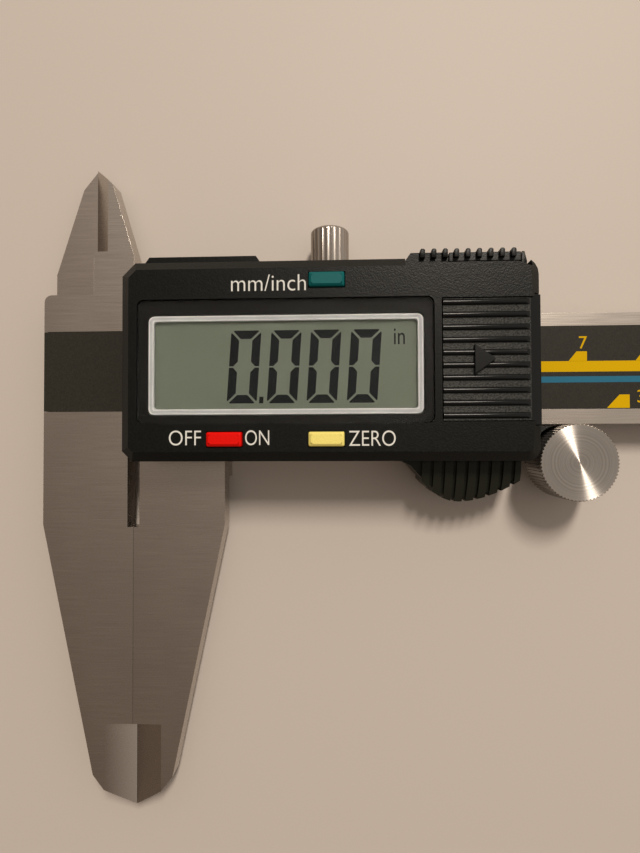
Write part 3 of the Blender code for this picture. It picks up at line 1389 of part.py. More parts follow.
def make_battery():
    """The button cell on the board, its spring below and its contact at the side."""
    body = rod_mesh(
        "battery",
        (BATTERY_X, BEAM_MIDDLE, BATTERY_FOOT),
        (BATTERY_X, BEAM_MIDDLE, BATTERY_FOOT + BATTERY_HEIGHT),
        BATTERY_RADIUS,
        ROUND_SIDES,
    )
    bevel_edges(body, SEAT_GAP, 1, lambda point: True)
    smooth(piece("battery", body, spring_steel))
    foot = BOARD_TOP + GLUE_GAP
    left = BATTERY_X - SPRING_LENGTH / 2
    right = BATTERY_X + SPRING_LENGTH / 2
    raised = BATTERY_FOOT - GLUE_GAP
    bent = [
        (left, foot),
        (right, foot),
        (right, foot + CONTACT_THICKNESS),
        (left + 2 * CONTACT_THICKNESS, foot + CONTACT_THICKNESS),
        (BATTERY_X + CONTACT_THICKNESS, raised),
        (BATTERY_X - CONTACT_THICKNESS, raised),
        (left, foot + CONTACT_THICKNESS),
    ]
    half = CONTACT_WIDTH / 2
    spring = flat_mesh("battery_spring", bent, -(BEAM_MIDDLE + half), -(BEAM_MIDDLE - half), ALONG_MINUS_Y)
    piece("battery_spring", spring, spring_steel)
    contact_left = PARTITION_RIGHT + GLUE_GAP
    contact = [
        (contact_left, foot),
        (contact_left + CONTACT_FOOT, foot),
        (contact_left + CONTACT_FOOT, foot + CONTACT_THICKNESS),
        (contact_left + CONTACT_THICKNESS, foot + CONTACT_THICKNESS),
        (contact_left + CONTACT_THICKNESS, BATTERY_FOOT + CONTACT_HEIGHT),
        (contact_left, BATTERY_FOOT + CONTACT_HEIGHT),
    ]
    side = flat_mesh("battery_contact", contact, -(BEAM_MIDDLE + half), -(BEAM_MIDDLE - half), ALONG_MINUS_Y)
    piece("battery_contact", side, spring_steel)


def cover_profile():
    """The battery cover seen from its end: lips, plate, and half-round ribs on the front."""
    low, high = COVER_Y
    plate_top = COVER_FOOT + COVER_PLATE
    lip_top = COVER_FOOT + COVER_LIP_THICKNESS
    profile = [
        (low - COVER_LIP, COVER_FOOT),
        (high + COVER_LIP, COVER_FOOT),
        (high + COVER_LIP, lip_top),
        (high, lip_top),
        (high, plate_top),
    ]
    first = high - COVER_RIB_MARGINS[1] - COVER_RIB_RADIUS
    last = low + COVER_RIB_MARGINS[0] + COVER_RIB_RADIUS
    for index in range(COVER_RIBS):
        middle = first + (last - first) * index / (COVER_RIBS - 1)
        profile += arc((middle, plate_top), COVER_RIB_RADIUS, 0, 180, 6)
    profile += [(low, plate_top), (low, lip_top), (low - COVER_LIP, lip_top)]
    return profile


def make_battery_cover():
    """The ribbed cover that slides off to the right, with its end wall and raised arrow."""
    right = CASE_RIGHT + COVER_END_PROUD
    origin = (COVER_LEFT, BEAM_MIDDLE, COVER_FOOT)
    plate = flat_mesh("battery_cover", cover_profile(), COVER_LEFT, right, ALONG_X)
    cover = piece("battery_cover", plate, black_plastic, origin)
    low, high = COVER_Y
    rib_top = COVER_FOOT + COVER_PLATE + COVER_RIB_RADIUS
    above = rib_top + CUT_MARGIN
    slope = [
        (right - COVER_NOSE, rib_top),
        (right + CUT_MARGIN, rib_top - (COVER_NOSE + CUT_MARGIN) * COVER_NOSE_SLOPE),
        (right + CUT_MARGIN, above),
        (right - COVER_NOSE, above),
    ]
    cut(cover, flat_mesh("slope", slope, -high - CUT_MARGIN, CUT_MARGIN - low, ALONG_MINUS_Y), "nose_slope")
    wall_low = low + COVER_LIP + COVER_GAP
    wall_high = high - COVER_LIP - COVER_GAP
    wall = block_mesh(
        "end_wall",
        (right - COVER_END_WALL, wall_low, BOARD_TOP + SEAT_GAP),
        (right - GLUE_GAP, wall_high, COVER_FOOT + COVER_PLATE / 4),
    )
    join(cover, wall, "end_wall")
    middle = (low + high) / 2
    arrow = [
        (ARROW_X[0], middle - ARROW_HALF_HEIGHT),
        (ARROW_X[1], middle),
        (ARROW_X[0], middle + ARROW_HALF_HEIGHT),
    ]
    arrow_top = COVER_FOOT + COVER_PLATE + ARROW_PROUD
    join(cover, flat_mesh("arrow", arrow, COVER_FOOT + GLUE_GAP, arrow_top), "arrow")


def make_port_cover():
    """The ribbed cover that pulls straight off the data port, with its plug."""
    left, right = PORT_COVER_X
    low = CASE_HIGH + GLUE_GAP * 2
    block = block_mesh(
        "port_cover",
        (left + PORT_PLUG_GAP, low, CASE_FOOT + SEAT_GAP),
        (right - PORT_PLUG_GAP, PLATFORM_TOP, STRIP_HEIGHT),
    )
    cover = piece("port_cover", block, black_plastic, ((left + right) / 2, low, STRIP_HEIGHT / 2))
    join(cover, top_ribs(TOP_RIBS_FIXED, TOP_RIBS_COVER, "cover_ribs"), "ribs")
    plug = block_mesh(
        "plug",
        (PORT_X[0] + PORT_PLUG_GAP, INNER_HIGH + SEAT_GAP, PORT_Z[0] + PORT_PLUG_GAP),
        (PORT_X[1] - PORT_PLUG_GAP, low + SEAT_GAP, PORT_Z[1] - PORT_PLUG_GAP),
    )
    join(cover, plug, "plug")


def make_roller():
    """The thumb roller on its pin: a knurled wheel that runs on the beam's lower edge."""
    centre = (ROLLER_X, ROLLER_Y)
    wheel = flat_mesh(
        "thumb_roller",
        toothed_circle(centre, ROLLER_RADIUS, ROLLER_TOOTH, ROLLER_TEETH),
        ROLLER_FOOT,
        ROLLER_TOP,
    )
    roller = piece("thumb_roller", wheel, nickel, (ROLLER_X, ROLLER_Y, 0.0))
    rim = ROLLER_RADIUS + ROLLER_TOOTH + GLUE_GAP
    profile = (
        (0.0, ROLLER_TOP + GLUE_GAP / 2),
        (rim - ROLLER_CHAMFER, ROLLER_TOP + GLUE_GAP / 2),
        (rim, ROLLER_TOP - ROLLER_CHAMFER),
        (rim, ROLLER_FOOT + ROLLER_CHAMFER),
        (rim - ROLLER_CHAMFER, ROLLER_FOOT - GLUE_GAP / 2),
        (0.0, ROLLER_FOOT - GLUE_GAP / 2),
    )
    envelope = turned_mesh("roller_envelope", profile, 2 * ROUND_SIDES)
    envelope.transform(Matrix.Translation((ROLLER_X, ROLLER_Y, 0.0)))
    keep(roller, envelope, "chamfers")
    bore_top = ROLLER_TOP - ROLLER_LID
    bore = rod_mesh(
        "bore",
        (ROLLER_X, ROLLER_Y, ROLLER_FOOT - CUT_MARGIN),
        (ROLLER_X, ROLLER_Y, bore_top),
        AXLE_RADIUS + PIN_GAP,
        ROUND_SIDES,
    )
    cut(roller, bore, "bore")
    head_foot = BRACKET_BACK + SCREW_SUNK
    profile = (
        (0.0, bore_top - AXLE_END_GAP),
        (AXLE_RADIUS - SEAT_GAP, bore_top - AXLE_END_GAP),
        (AXLE_RADIUS, bore_top - AXLE_END_GAP - SEAT_GAP),
        (AXLE_RADIUS, head_foot + AXLE_HEAD),
        (AXLE_HEAD_RADIUS, head_foot + AXLE_HEAD),
        (AXLE_HEAD_RADIUS, head_foot),
        (0.0, head_foot),
    )
    axle = turned_mesh("roller_axle", profile, ROUND_SIDES)
    axle.transform(Matrix.Translation((ROLLER_X, ROLLER_Y, 0.0)))
    smooth(piece("roller_axle", axle, steel))


def make_roller_bracket():
    """The black bracket under the roller: an arm, a tongue in the slider, and a corner guard."""
    left = SLIDER_LENGTH + SEAT_GAP
    high = tongue_high() + PORT_PLUG_GAP
    arm = [(left, high), (left, tongue_low())]
    arm += arc((ROLLER_X, ROLLER_Y), BRACKET_RADIUS, -90, 90, 12)
    arm_mesh = flat_mesh("roller_bracket", arm, BRACKET_BACK, BRACKET_TOP)
    bracket = piece("roller_bracket", arm_mesh, black_plastic)
    tongue = block_mesh(
        "tongue",
        (left - BRACKET_TONGUE, tongue_low(), BRACKET_BACK),
        (left + SEAT_GAP, tongue_high(), TONGUE_TOP),
    )
    join(bracket, tongue, "tongue")
    reach = ROLLER_RADIUS + ROLLER_TOOTH + SEAT_GAP
    guard_high = -SEAT_GAP
    start = 180 - math.degrees(math.asin((guard_high - ROLLER_Y) / reach))
    guard = [(left, tongue_low()), (left, guard_high)]
    guard += arc((ROLLER_X, ROLLER_Y), reach, start, GUARD_END_ANGLE, 8)
    join(bracket, flat_mesh("guard", guard, BRACKET_TOP - SEAT_GAP, 0.0), "guard")
    head = rod_mesh(
        "axle_head",
        (ROLLER_X, ROLLER_Y, BRACKET_BACK - CUT_MARGIN),
        (ROLLER_X, ROLLER_Y, BRACKET_BACK + SCREW_SUNK + AXLE_HEAD + GLUE_GAP),
        AXLE_HEAD_RADIUS + PIN_GAP,
        ROUND_SIDES,
    )
    cut(bracket, head, "axle_head")
    hole = rod_mesh(
        "axle_hole",
        (ROLLER_X, ROLLER_Y, BRACKET_BACK),
        (ROLLER_X, ROLLER_Y, BRACKET_TOP + CUT_MARGIN),
        AXLE_RADIUS + PIN_GAP,
        ROUND_SIDES,
    )
    cut(bracket, hole, "axle_hole")
    place = bracket_screw_place()
    small_screw("bracket_screw", place, WALL_MIDDLE_Z - BRACKET_BACK - SCREW_SUNK - SEAT_GAP)
    group = small_screw_hole(place, TONGUE_TOP + SEAT_GAP)
    for kind, mesh in zip(("sink", "taper", "shank"), group):
        cut(bracket, mesh, kind)


make_beam()
make_scale()
make_end_stop()
make_slider_frame()
make_gib()
make_lock_screw()
make_depth_rod()
make_case_screws()
make_case()
make_window_and_display()
make_board()
make_buttons()
make_battery()
make_battery_cover()
make_port_cover()
make_roller()
make_roller_bracket()
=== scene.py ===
"""Looks of a 300 mm digital caliper that lies on its back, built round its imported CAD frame."""

import json
import math

import bmesh
import bpy
from mathutils import Matrix, Vector


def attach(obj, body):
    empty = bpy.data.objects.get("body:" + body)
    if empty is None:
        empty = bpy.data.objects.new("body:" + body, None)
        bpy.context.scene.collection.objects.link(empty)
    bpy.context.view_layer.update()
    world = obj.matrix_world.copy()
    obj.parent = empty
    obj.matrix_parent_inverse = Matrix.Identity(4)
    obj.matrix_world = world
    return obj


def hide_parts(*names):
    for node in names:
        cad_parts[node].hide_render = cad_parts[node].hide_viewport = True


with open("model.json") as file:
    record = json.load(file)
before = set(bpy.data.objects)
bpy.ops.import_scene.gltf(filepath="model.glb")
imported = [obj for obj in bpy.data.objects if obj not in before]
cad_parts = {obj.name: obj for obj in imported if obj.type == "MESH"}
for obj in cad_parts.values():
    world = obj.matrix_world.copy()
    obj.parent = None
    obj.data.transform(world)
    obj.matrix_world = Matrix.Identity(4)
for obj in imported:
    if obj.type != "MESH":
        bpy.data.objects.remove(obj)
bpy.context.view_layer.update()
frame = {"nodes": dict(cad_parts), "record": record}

# The picture: camera, light and floor. The caliper lies on a plain pale table
# under soft warm room light, seen from straight above at about 0.1 m.
MM = 0.001
DATUM = Vector((-186.1, 8.9, 6.23)) * MM


def at(x, y, z):
    """A place in metres, from millimetres off the corner of jaw contact line and beam edge."""
    return DATUM + Vector((x, y, z)) * MM


def linear(code):
    """An sRGB hex colour as linear red, green, blue and alpha."""
    values = [int(code[i : i + 2], 16) / 255 for i in (1, 3, 5)]
    return [v / 12.92 if v <= 0.04045 else ((v + 0.055) / 1.055) ** 2.4 for v in values] + [1.0]


def add(tree, kind, inputs=(), **settings):
    """Adds a node: settings are attributes or named inputs, inputs pairs inputs with sockets or values."""
    node = tree.nodes.new(kind)
    for name, value in settings.items():
        if hasattr(node, name):
            setattr(node, name, value)
        else:
            node.inputs[name.replace("_", " ")].default_value = value
    for name, value in inputs:
        if isinstance(value, bpy.types.NodeSocket):
            tree.links.new(value, node.inputs[name])
        else:
            node.inputs[name].default_value = value
    return node


# Numbers of a mix node's colour inputs and output, which share their names with other types.
MIX_A, MIX_B, MIX_COLOUR = 6, 7, 2

CAMERA_PLACE = (33.902, -2.440, 95.641)
CAMERA_TURNS = (-2.684, -1.324, 0.204)
camera = bpy.data.objects.new("camera", bpy.data.cameras.new("camera"))
camera.data.sensor_fit = "VERTICAL"
camera.data.sensor_height = 36.0
camera.data.lens = 26.0
camera.data.clip_start = 0.005
camera.data.dof.use_dof = False
yaw, pitch, roll = (math.radians(angle) for angle in CAMERA_TURNS)
to_camera = Matrix.Rotation(roll, 3, "Z") @ Matrix.Rotation(pitch, 3, "X") @ Matrix.Rotation(yaw, 3, "Y")
camera.matrix_world = Matrix.Translation(at(*CAMERA_PLACE)) @ to_camera.transposed().to_4x4()
bpy.context.scene.collection.objects.link(camera)
bpy.context.scene.camera = camera
bpy.context.scene.view_settings.view_transform = "Standard"

# The room is lighter towards the window on the right, and darker to the left and the front.
WINDOW_WAY = (0.75, 0.65, 0.1)
ROOM_DARK, ROOM_LIGHT = "#8C7A6B", "#ECE1D6"
world = bpy.data.worlds.new("room")
bpy.context.scene.world = world
world.use_nodes = True
room = world.node_tree
way = add(room, "ShaderNodeTexCoord")
towards = add(
    room, "ShaderNodeVectorMath", [(0, way.outputs["Generated"]), (1, WINDOW_WAY)], operation="DOT_PRODUCT"
)
spread = add(room, "ShaderNodeMapRange", [("Value", towards.outputs["Value"])], From_Min=-0.5, From_Max=0.5)
wall = add(
    room,
    "ShaderNodeMix",
    [("Factor", spread.outputs["Result"]), (MIX_A, linear(ROOM_DARK)), (MIX_B, linear(ROOM_LIGHT))],
    data_type="RGBA",
)
room.links.new(wall.outputs[MIX_COLOUR], room.nodes["Background"].inputs["Color"])
room.nodes["Background"].inputs["Strength"].default_value = 0.72


def lamp(name, place, aim, wide, deep, watts, colour):
    """An oblong soft lamp that shines from one place to another."""
    light = bpy.data.lights.new(name, "AREA")
    light.shape = "RECTANGLE"
    light.size = wide
    light.size_y = deep
    light.energy = watts
    light.color = linear(colour)[:3]
    made = bpy.data.objects.new(name, light)
    made.rotation_euler = (Vector(aim) - Vector(place)).to_track_quat("-Z", "Y").to_euler()
    made.location = place
    bpy.context.scene.collection.objects.link(made)


lamp(
    "ceiling_lamp",
    place=(0.06, 0.62, 1.0),
    aim=(-0.15, 0.0, 0.0),
    wide=0.11,
    deep=0.3,
    watts=11.0,
    colour="#FFF3E6",
)

# The table top is a matt laminate, pale and warm, which spreads the light evenly.
FLOOR_HALF = 3.0
floor_mesh = bpy.data.meshes.new("floor")
floor_corners = [(x * FLOOR_HALF, y * FLOOR_HALF, 0) for x, y in ((-1, -1), (1, -1), (1, 1), (-1, 1))]
floor_mesh.from_pydata(floor_corners, [], [(0, 1, 2, 3)])
floor = bpy.data.objects.new("floor", floor_mesh)
bpy.context.scene.collection.objects.link(floor)
table_top = bpy.data.materials.new("table_laminate")
table_top.use_nodes = True
shader = table_top.node_tree.nodes["Principled BSDF"]
shader.inputs["Base Color"].default_value = linear("#BDB4AB")
shader.inputs["Roughness"].default_value = 0.6
floor.data.materials.append(table_top)

# The beam with its fixed jaw and blade: hardened stainless steel, surface ground and
# satin brushed. Its edges are broken by hand, so they catch a thin line of light.
body_of = {node: body for body, nodes in frame["record"]["behaviour"]["bodies"].items() for node in nodes}


def to_mesh(made):
    """Turns an object with modifiers into a plain mesh in place."""
    bpy.context.view_layer.update()
    evaluated = made.evaluated_get(bpy.context.evaluated_depsgraph_get())
    mesh = bpy.data.meshes.new_from_object(evaluated)
    made.modifiers.clear()
    made.data = mesh
    return made


def finished(node, material, edge=0.0, steps=2, angle=35, above=None, crease=None):
    """A CAD node's copy with merged corners and broken edges, or only those above a height.

    Edges that turn by more than the angle are broken, by a width in millimetres. Faces that
    turn by more than the crease, or else the angle, meet crisply.
    """
    bm = bmesh.new()
    bm.from_mesh(frame["nodes"][node].data)
    bmesh.ops.remove_doubles(bm, verts=bm.verts, dist=0.001 * MM)
    bmesh.ops.dissolve_limit(bm, angle_limit=math.radians(0.5), verts=bm.verts, edges=bm.edges)
    weights = bm.edges.layers.float.new("bevel_weight_edge")
    for sharp in bm.edges:
        if above and sharp.calc_face_angle(0.0) > math.radians(angle):
            sharp[weights] = float(max(v.co.z for v in sharp.verts) > above)
    mesh = bpy.data.meshes.new(node + "_finish")
    bm.to_mesh(mesh)
    bm.free()
    mesh.materials.append(material)
    made = bpy.data.objects.new(node + "_finish", mesh)
    bpy.context.scene.collection.objects.link(made)
    if edge:
        breaking = made.modifiers.new("broken_edges", "BEVEL")
        breaking.width = edge * MM
        breaking.segments = steps
        breaking.limit_method = "WEIGHT" if above else "ANGLE"
        breaking.angle_limit = math.radians(angle)
        to_mesh(made)
        highest = max(vertex.co.z for vertex in mesh.vertices)
        for vertex in made.data.vertices:
            vertex.co.z = min(vertex.co.z, highest)
    made.data.shade_smooth()
    made.data.set_sharp_from_angle(angle=math.radians(crease or angle))
    flats = made.modifiers.new("flat_faces", "WEIGHTED_NORMAL")
    flats.keep_sharp = True
    to_mesh(made)
    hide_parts(node)
    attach(made, body_of[node])
    return made


# The scratches are several times as wide as a grinding belt leaves them, so that they show.
SCRATCH_LONG = 20 / 3
SCRATCH_WIDE = 1 / 9
SCRATCH_DEEP = 0.01
WEAR_SIZE = 25 / 3


def brushed_steel(name, colour, along, roughness=0.27):
    """Ground and brushed metal: fine scratches run along one axis, under a slow cloud of wear."""
    made = bpy.data.materials.new(name)
    made.use_nodes = True
    tree = made.node_tree
    shader = tree.nodes["Principled BSDF"]
    shader.inputs["Metallic"].default_value = 1.0
    place = add(tree, "ShaderNodeTexCoord")
    stretch = [1 / ((SCRATCH_LONG if axis == along else SCRATCH_WIDE) * MM) for axis in "XYZ"]
    lines = add(tree, "ShaderNodeMapping", [("Vector", place.outputs["Object"])], Scale=stretch)
    scratches = add(tree, "ShaderNodeTexNoise", [("Vector", lines.outputs["Vector"])], Scale=1.0, Detail=4.0)
    wear_scale = 1 / (WEAR_SIZE * MM)
    cloud = add(
        tree, "ShaderNodeTexNoise", [("Vector", place.outputs["Object"])], Scale=wear_scale, Detail=3.0
    )
    mixed = add(
        tree, "ShaderNodeMath", [(0, scratches.outputs["Fac"]), (1, cloud.outputs["Fac"])], operation="ADD"
    )
    shade = add(tree, "ShaderNodeMapRange", [("Value", mixed.outputs[0])], From_Min=0.7, From_Max=1.3)
    dark = [value * 0.95 for value in linear(colour)[:3]] + [1.0]
    bright = [min(1.0, value * 1.05) for value in linear(colour)[:3]] + [1.0]
    ramp = add(
        tree,
        "ShaderNodeMix",
        [("Factor", shade.outputs["Result"]), (MIX_A, dark), (MIX_B, bright)],
        data_type="RGBA",
    )
    tree.links.new(ramp.outputs[MIX_COLOUR], shader.inputs["Base Color"])
    rough = add(
        tree,
        "ShaderNodeMapRange",
        [("Value", scratches.outputs["Fac"])],
        From_Min=0.3,
        From_Max=0.7,
        To_Min=roughness - 0.03,
        To_Max=roughness + 0.04,
    )
    tree.links.new(rough.outputs["Result"], shader.inputs["Roughness"])
    bump = add(tree, "ShaderNodeBump", [("Height", scratches.outputs["Fac"])], Strength=0.05)
    bump.inputs["Distance"].default_value = SCRATCH_DEEP * MM
    tree.links.new(bump.outputs["Normal"], shader.inputs["Normal"])
    return made


# Ground stainless steel: a soft grey sheen, drawn out across the scratches.
beam_steel = brushed_steel("ground_stainless_steel", "#B4ACA3", "X")
finished("beam", beam_steel, edge=0.012, angle=50, crease=24)
for node in ("end_stop_plate", "end_stop_screw_1", "end_stop_screw_2"):
    finished(node, beam_steel, edge=0.05)

# The scale: a laminate strip with its copper pattern, under a printed polyester film. The film
# is matt black with yellow centimetre ramps and numbers, a blue line, and yellow inch ramps.
# Glass cloth laminate: a dull olive green that shows only at the strip's edges.
laminate = bpy.data.materials.new("glass_epoxy_laminate")
laminate.use_nodes = True
shader = laminate.node_tree.nodes["Principled BSDF"]
shader.inputs["Base Color"].default_value = linear("#4E5A34")
shader.inputs["Roughness"].default_value = 0.45
frame["nodes"]["scale_stator"].data.materials[0] = laminate


def grained(name, colour, roughness, grain, depth, lighter=1.25, specular=0.13):
    """A moulded or printed surface: one colour with a fine grain in relief and in shade.

    The grain's size and depth are in millimetres, up to twice the real ones, so that it shows.
    """
    made = bpy.data.materials.new(name)
    made.use_nodes = True
    tree = made.node_tree
    shader = tree.nodes["Principled BSDF"]
    shader.inputs["Roughness"].default_value = roughness
    shader.inputs["Specular IOR Level"].default_value = specular
    place = add(tree, "ShaderNodeTexCoord")
    grains = add(
        tree, "ShaderNodeTexNoise", [("Vector", place.outputs["Object"])], Scale=1 / (grain * MM), Detail=3.0
    )
    shade = add(tree, "ShaderNodeMapRange", [("Value", grains.outputs["Fac"])], From_Min=0.35, From_Max=0.65)
    dark, light = (
        [min(1.0, value * share) for value in linear(colour)[:3]] + [1.0] for share in (1 / lighter, lighter)
    )
    ramp = add(
        tree,
        "ShaderNodeMix",
        [("Factor", shade.outputs["Result"]), (MIX_A, dark), (MIX_B, light)],
        data_type="RGBA",
    )
    tree.links.new(ramp.outputs[MIX_COLOUR], shader.inputs["Base Color"])
    bump = add(tree, "ShaderNodeBump", [("Height", grains.outputs["Fac"])], Strength=0.5, Distance=depth * MM)
    tree.links.new(bump.outputs["Normal"], shader.inputs["Normal"])
    return made


# Printed film: a matt, warm black with a faint tooth. The screen inks on it are flat and
# even, with hardly any gloss.
film = grained("printed_polyester_film", "#2B2A24", roughness=0.5, grain=0.15, depth=0.01)
frame["nodes"]["scale_label"].data.materials[0] = film
INK = {"roughness": 0.55, "grain": 0.12, "depth": 0.006, "lighter": 1.06}
yellow_ink = grained("yellow_screen_ink", "#CCA400", specular=0.05, **INK)
blue_ink = grained("blue_screen_ink", "#2A6882", specular=0.08, **INK)
PRINT_FACE = 0.012
PRINT_THICK = 0.01
BAND_START, BAND_END = 3.0, 372.0
YELLOW_LOW, YELLOW_HIGH = 7.97, 9.6
BLUE_LOW, BLUE_HIGH = 6.33, 7.26
CENTIMETRES, CENTIMETRE = 30, 10.0
INCHES, INCH = 12, 25.4


def printed(name, outlines, height, material, body, thickness=PRINT_THICK):
    """Flat printed shapes: closed outlines in millimetres, at one height over the beam's face."""
    bm = bmesh.new()
    for outline in outlines:
        corners = [bm.verts.new(at(x, y, height)) for x, y in outline]
        face = bm.faces.new(corners)
        face.normal_update()
        if face.normal.z < 0:
            face.normal_flip()
    bmesh.ops.remove_doubles(bm, verts=bm.verts, dist=0.001 * MM)
    made = bpy.data.objects.new(name, bpy.data.meshes.new(name))
    raised = bmesh.ops.extrude_face_region(bm, geom=bm.faces[:])
    lifted = [item for item in raised["geom"] if isinstance(item, bmesh.types.BMVert)]
    bmesh.ops.translate(bm, vec=(0, 0, -thickness * MM), verts=lifted)
    bmesh.ops.recalc_face_normals(bm, faces=bm.faces)
    bm.to_mesh(made.data)
    bm.free()
    made.data.materials.append(material)
    bpy.context.scene.collection.objects.link(made)
    if body:
        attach(made, body)
    return made


def lettered(name, words, place, size, material, body, face, middle=False, thin=0.0):
    """Printed letters from the built-in sans face, set at a place and fitted to a size in millimetres.

    The place is their lower left, or lower middle, and the size is their width (or None) and height.
    """
    (left, low), (width, height) = place, size
    curve = bpy.data.curves.new(name, "FONT")
    curve.body = words
    curve.size = 1.0
    curve.extrude = 0.01
    curve.offset = -thin
    made = bpy.data.objects.new(name, curve)
    bpy.context.scene.collection.objects.link(made)
    bpy.context.view_layer.update()
    mesh = bpy.data.meshes.new_from_object(made.evaluated_get(bpy.context.evaluated_depsgraph_get()))
    bpy.data.objects.remove(made, do_unlink=True)
    xs = [v.co.x for v in mesh.vertices]
    ys = [v.co.y for v in mesh.vertices]
    zs = [v.co.z for v in mesh.vertices]
    tall = height / (max(ys) - min(ys))
    wide = width / (max(xs) - min(xs)) if width else tall
    shift = (max(xs) - min(xs)) * wide / 2 if middle else 0.0
    for vertex in mesh.vertices:
        x = (vertex.co.x - min(xs)) * wide + left - shift
        y = (vertex.co.y - min(ys)) * tall + low
        depth = (max(zs) - vertex.co.z) / (max(zs) - min(zs))
        vertex.co = at(x, y, face - depth * PRINT_THICK)
    bm = bmesh.new()
    bm.from_mesh(mesh)
    bmesh.ops.remove_doubles(bm, verts=bm.verts, dist=0.0005 * MM)
    bm.to_mesh(mesh)
    bm.free()
    mesh.materials.clear()
    mesh.materials.append(material)
    made = bpy.data.objects.new(name, mesh)
    bpy.context.scene.collection.objects.link(made)
    if body:
        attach(made, body)
    return made


def repeated(made, count, step, material):
    """Repeats a printed mark along the beam with Geometry Nodes, and leaves a plain mesh."""
    tree = bpy.data.node_groups.new(made.name + "_row", "GeometryNodeTree")
    kinds = {"Geometry": "Geometry", "Count": "Int", "Step": "Vector", "Ink": "Material"}
    for name, kind in kinds.items():
        tree.interface.new_socket(name=name, in_out="INPUT", socket_type="NodeSocket" + kind)
    tree.interface.new_socket(name="Geometry", in_out="OUTPUT", socket_type="NodeSocketGeometry")
    given = add(tree, "NodeGroupInput")
    line = add(
        tree, "GeometryNodeMeshLine", [("Count", given.outputs["Count"]), ("Offset", given.outputs["Step"])]
    )
    marks = add(
        tree,
        "GeometryNodeInstanceOnPoints",
        [("Points", line.outputs["Mesh"]), ("Instance", given.outputs["Geometry"])],
    )
    real = add(tree, "GeometryNodeRealizeInstances", [("Geometry", marks.outputs["Instances"])])
    inked = add(
        tree,
        "GeometryNodeSetMaterial",
        [("Geometry", real.outputs["Geometry"]), ("Material", given.outputs["Ink"])],
    )
    add(tree, "NodeGroupOutput", [("Geometry", inked.outputs["Geometry"])])
    row = made.modifiers.new("row", "NODES")
    row.node_group = tree
    values = {"Count": count, "Step": (step * MM, 0.0, 0.0), "Ink": material}
    for item in tree.interface.items_tree:
        if item.in_out == "INPUT" and item.name in values:
            row[item.identifier] = values[item.name]
    return to_mesh(made)


def bar(left, right, low, high):
    """The outline of an upright rectangle."""
    return [(left, low), (right, low), (right, high), (left, high)]


band = bar(BAND_START, BAND_END, YELLOW_LOW, YELLOW_HIGH)
printed("centimetre_band", [band], PRINT_FACE, yellow_ink, "beam_body")
line = bar(BAND_START, BAND_END, BLUE_LOW, BLUE_HIGH)
printed("middle_line", [line], PRINT_FACE, blue_ink, "beam_body")
# Each ramp ends in an upright edge at its mark. Its foot and its top run back from there.
CM_EDGE, CM_FOOT, CM_TOP = 10.28, 2.79, 1.57
CM_LOW, CM_HIGH = 9.58, 11.08
ramp = [(CM_EDGE - CM_FOOT, CM_LOW), (CM_EDGE, CM_LOW), (CM_EDGE, CM_HIGH), (CM_EDGE - CM_TOP, CM_HIGH)]
ramps = printed("centimetre_ramps", [ramp], PRINT_FACE, yellow_ink, None)
repeated(ramps, CENTIMETRES, CENTIMETRE, yellow_ink)
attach(ramps, "beam_body")
IN_EDGE, IN_FOOT, IN_TOP = INCH + 0.36, 3.4, 1.5
IN_LOW, IN_HIGH = 2.4, 4.43
ramp = [(IN_EDGE - IN_FOOT, IN_LOW), (IN_EDGE, IN_LOW), (IN_EDGE, IN_HIGH), (IN_EDGE - IN_TOP, IN_HIGH)]
ramps = printed("inch_ramps", [ramp], PRINT_FACE, yellow_ink, None)
repeated(ramps, INCHES, INCH, yellow_ink)
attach(ramps, "beam_body")
NUMBER_SIZE = (None, 1.92)
CM_NUMBER_SHIFT, CM_NUMBER_LOW = 0.29, 11.47
IN_NUMBER_SHIFT, IN_NUMBER_LOW = 1.5, 3.2
for value in range(1, CENTIMETRES + 1):
    place = (value * CENTIMETRE - CM_NUMBER_SHIFT, CM_NUMBER_LOW)
    name = "centimetre_%d" % value
    lettered(name, str(value), place, NUMBER_SIZE, yellow_ink, "beam_body", PRINT_FACE, middle=True)
for value in range(1, INCHES + 1):
    place = (value * INCH + IN_NUMBER_SHIFT, IN_NUMBER_LOW)
    lettered("inch_%d" % value, str(value), place, NUMBER_SIZE, yellow_ink, "beam_body", PRINT_FACE)

# The slider: a steel frame round the beam with the moving jaw and blade, ground like the beam.
# The brass gib strip, its set screws and the depth rod with its clamp belong to it.
# The slider's ground steel looks a shade darker than the beam's. The drawn rod is as bright,
# the rolled gib a dull gold, and the turned screws a darker grey.
slider_steel = brushed_steel("ground_slider_steel", "#B0A79E", "X")
finished("slider_frame", slider_steel, edge=0.02, angle=50, crease=15)
rod_steel = brushed_steel("drawn_rod_steel", "#B2AAA0", "X")
finished("depth_rod", rod_steel, edge=0.08)
finished("rod_clamp", slider_steel, edge=0.06)
gib_brass = brushed_steel("rolled_gib_brass", "#B08A4A", "X", roughness=0.35)
finished("gib_strip", gib_brass)
screw_steel = brushed_steel("turned_screw_steel", "#8D8883", "Z", roughness=0.3)
SCREWS = ["gib_screw_1", "gib_screw_2", "rod_clamp_screw_1", "rod_clamp_screw_2", "bracket_screw"]
SCREWS += ["case_screw_%d" % number for number in range(1, 5)]
for node in SCREWS:
    finished(node, screw_steel, edge=0.04)

# The display case: injection moulded black ABS with a fine spark-eroded grain. Its edges are
# softly rounded, and a little worn, so they shine more than the flats.
CASE_FACE = 9.3
# Spark-eroded ABS: a deep black, whose grain breaks its sheen into soft specks.
case_black = grained(
    "moulded_black_abs", "#0E100E", roughness=0.34, grain=0.22, depth=0.06, lighter=1.45, specular=0.14
)
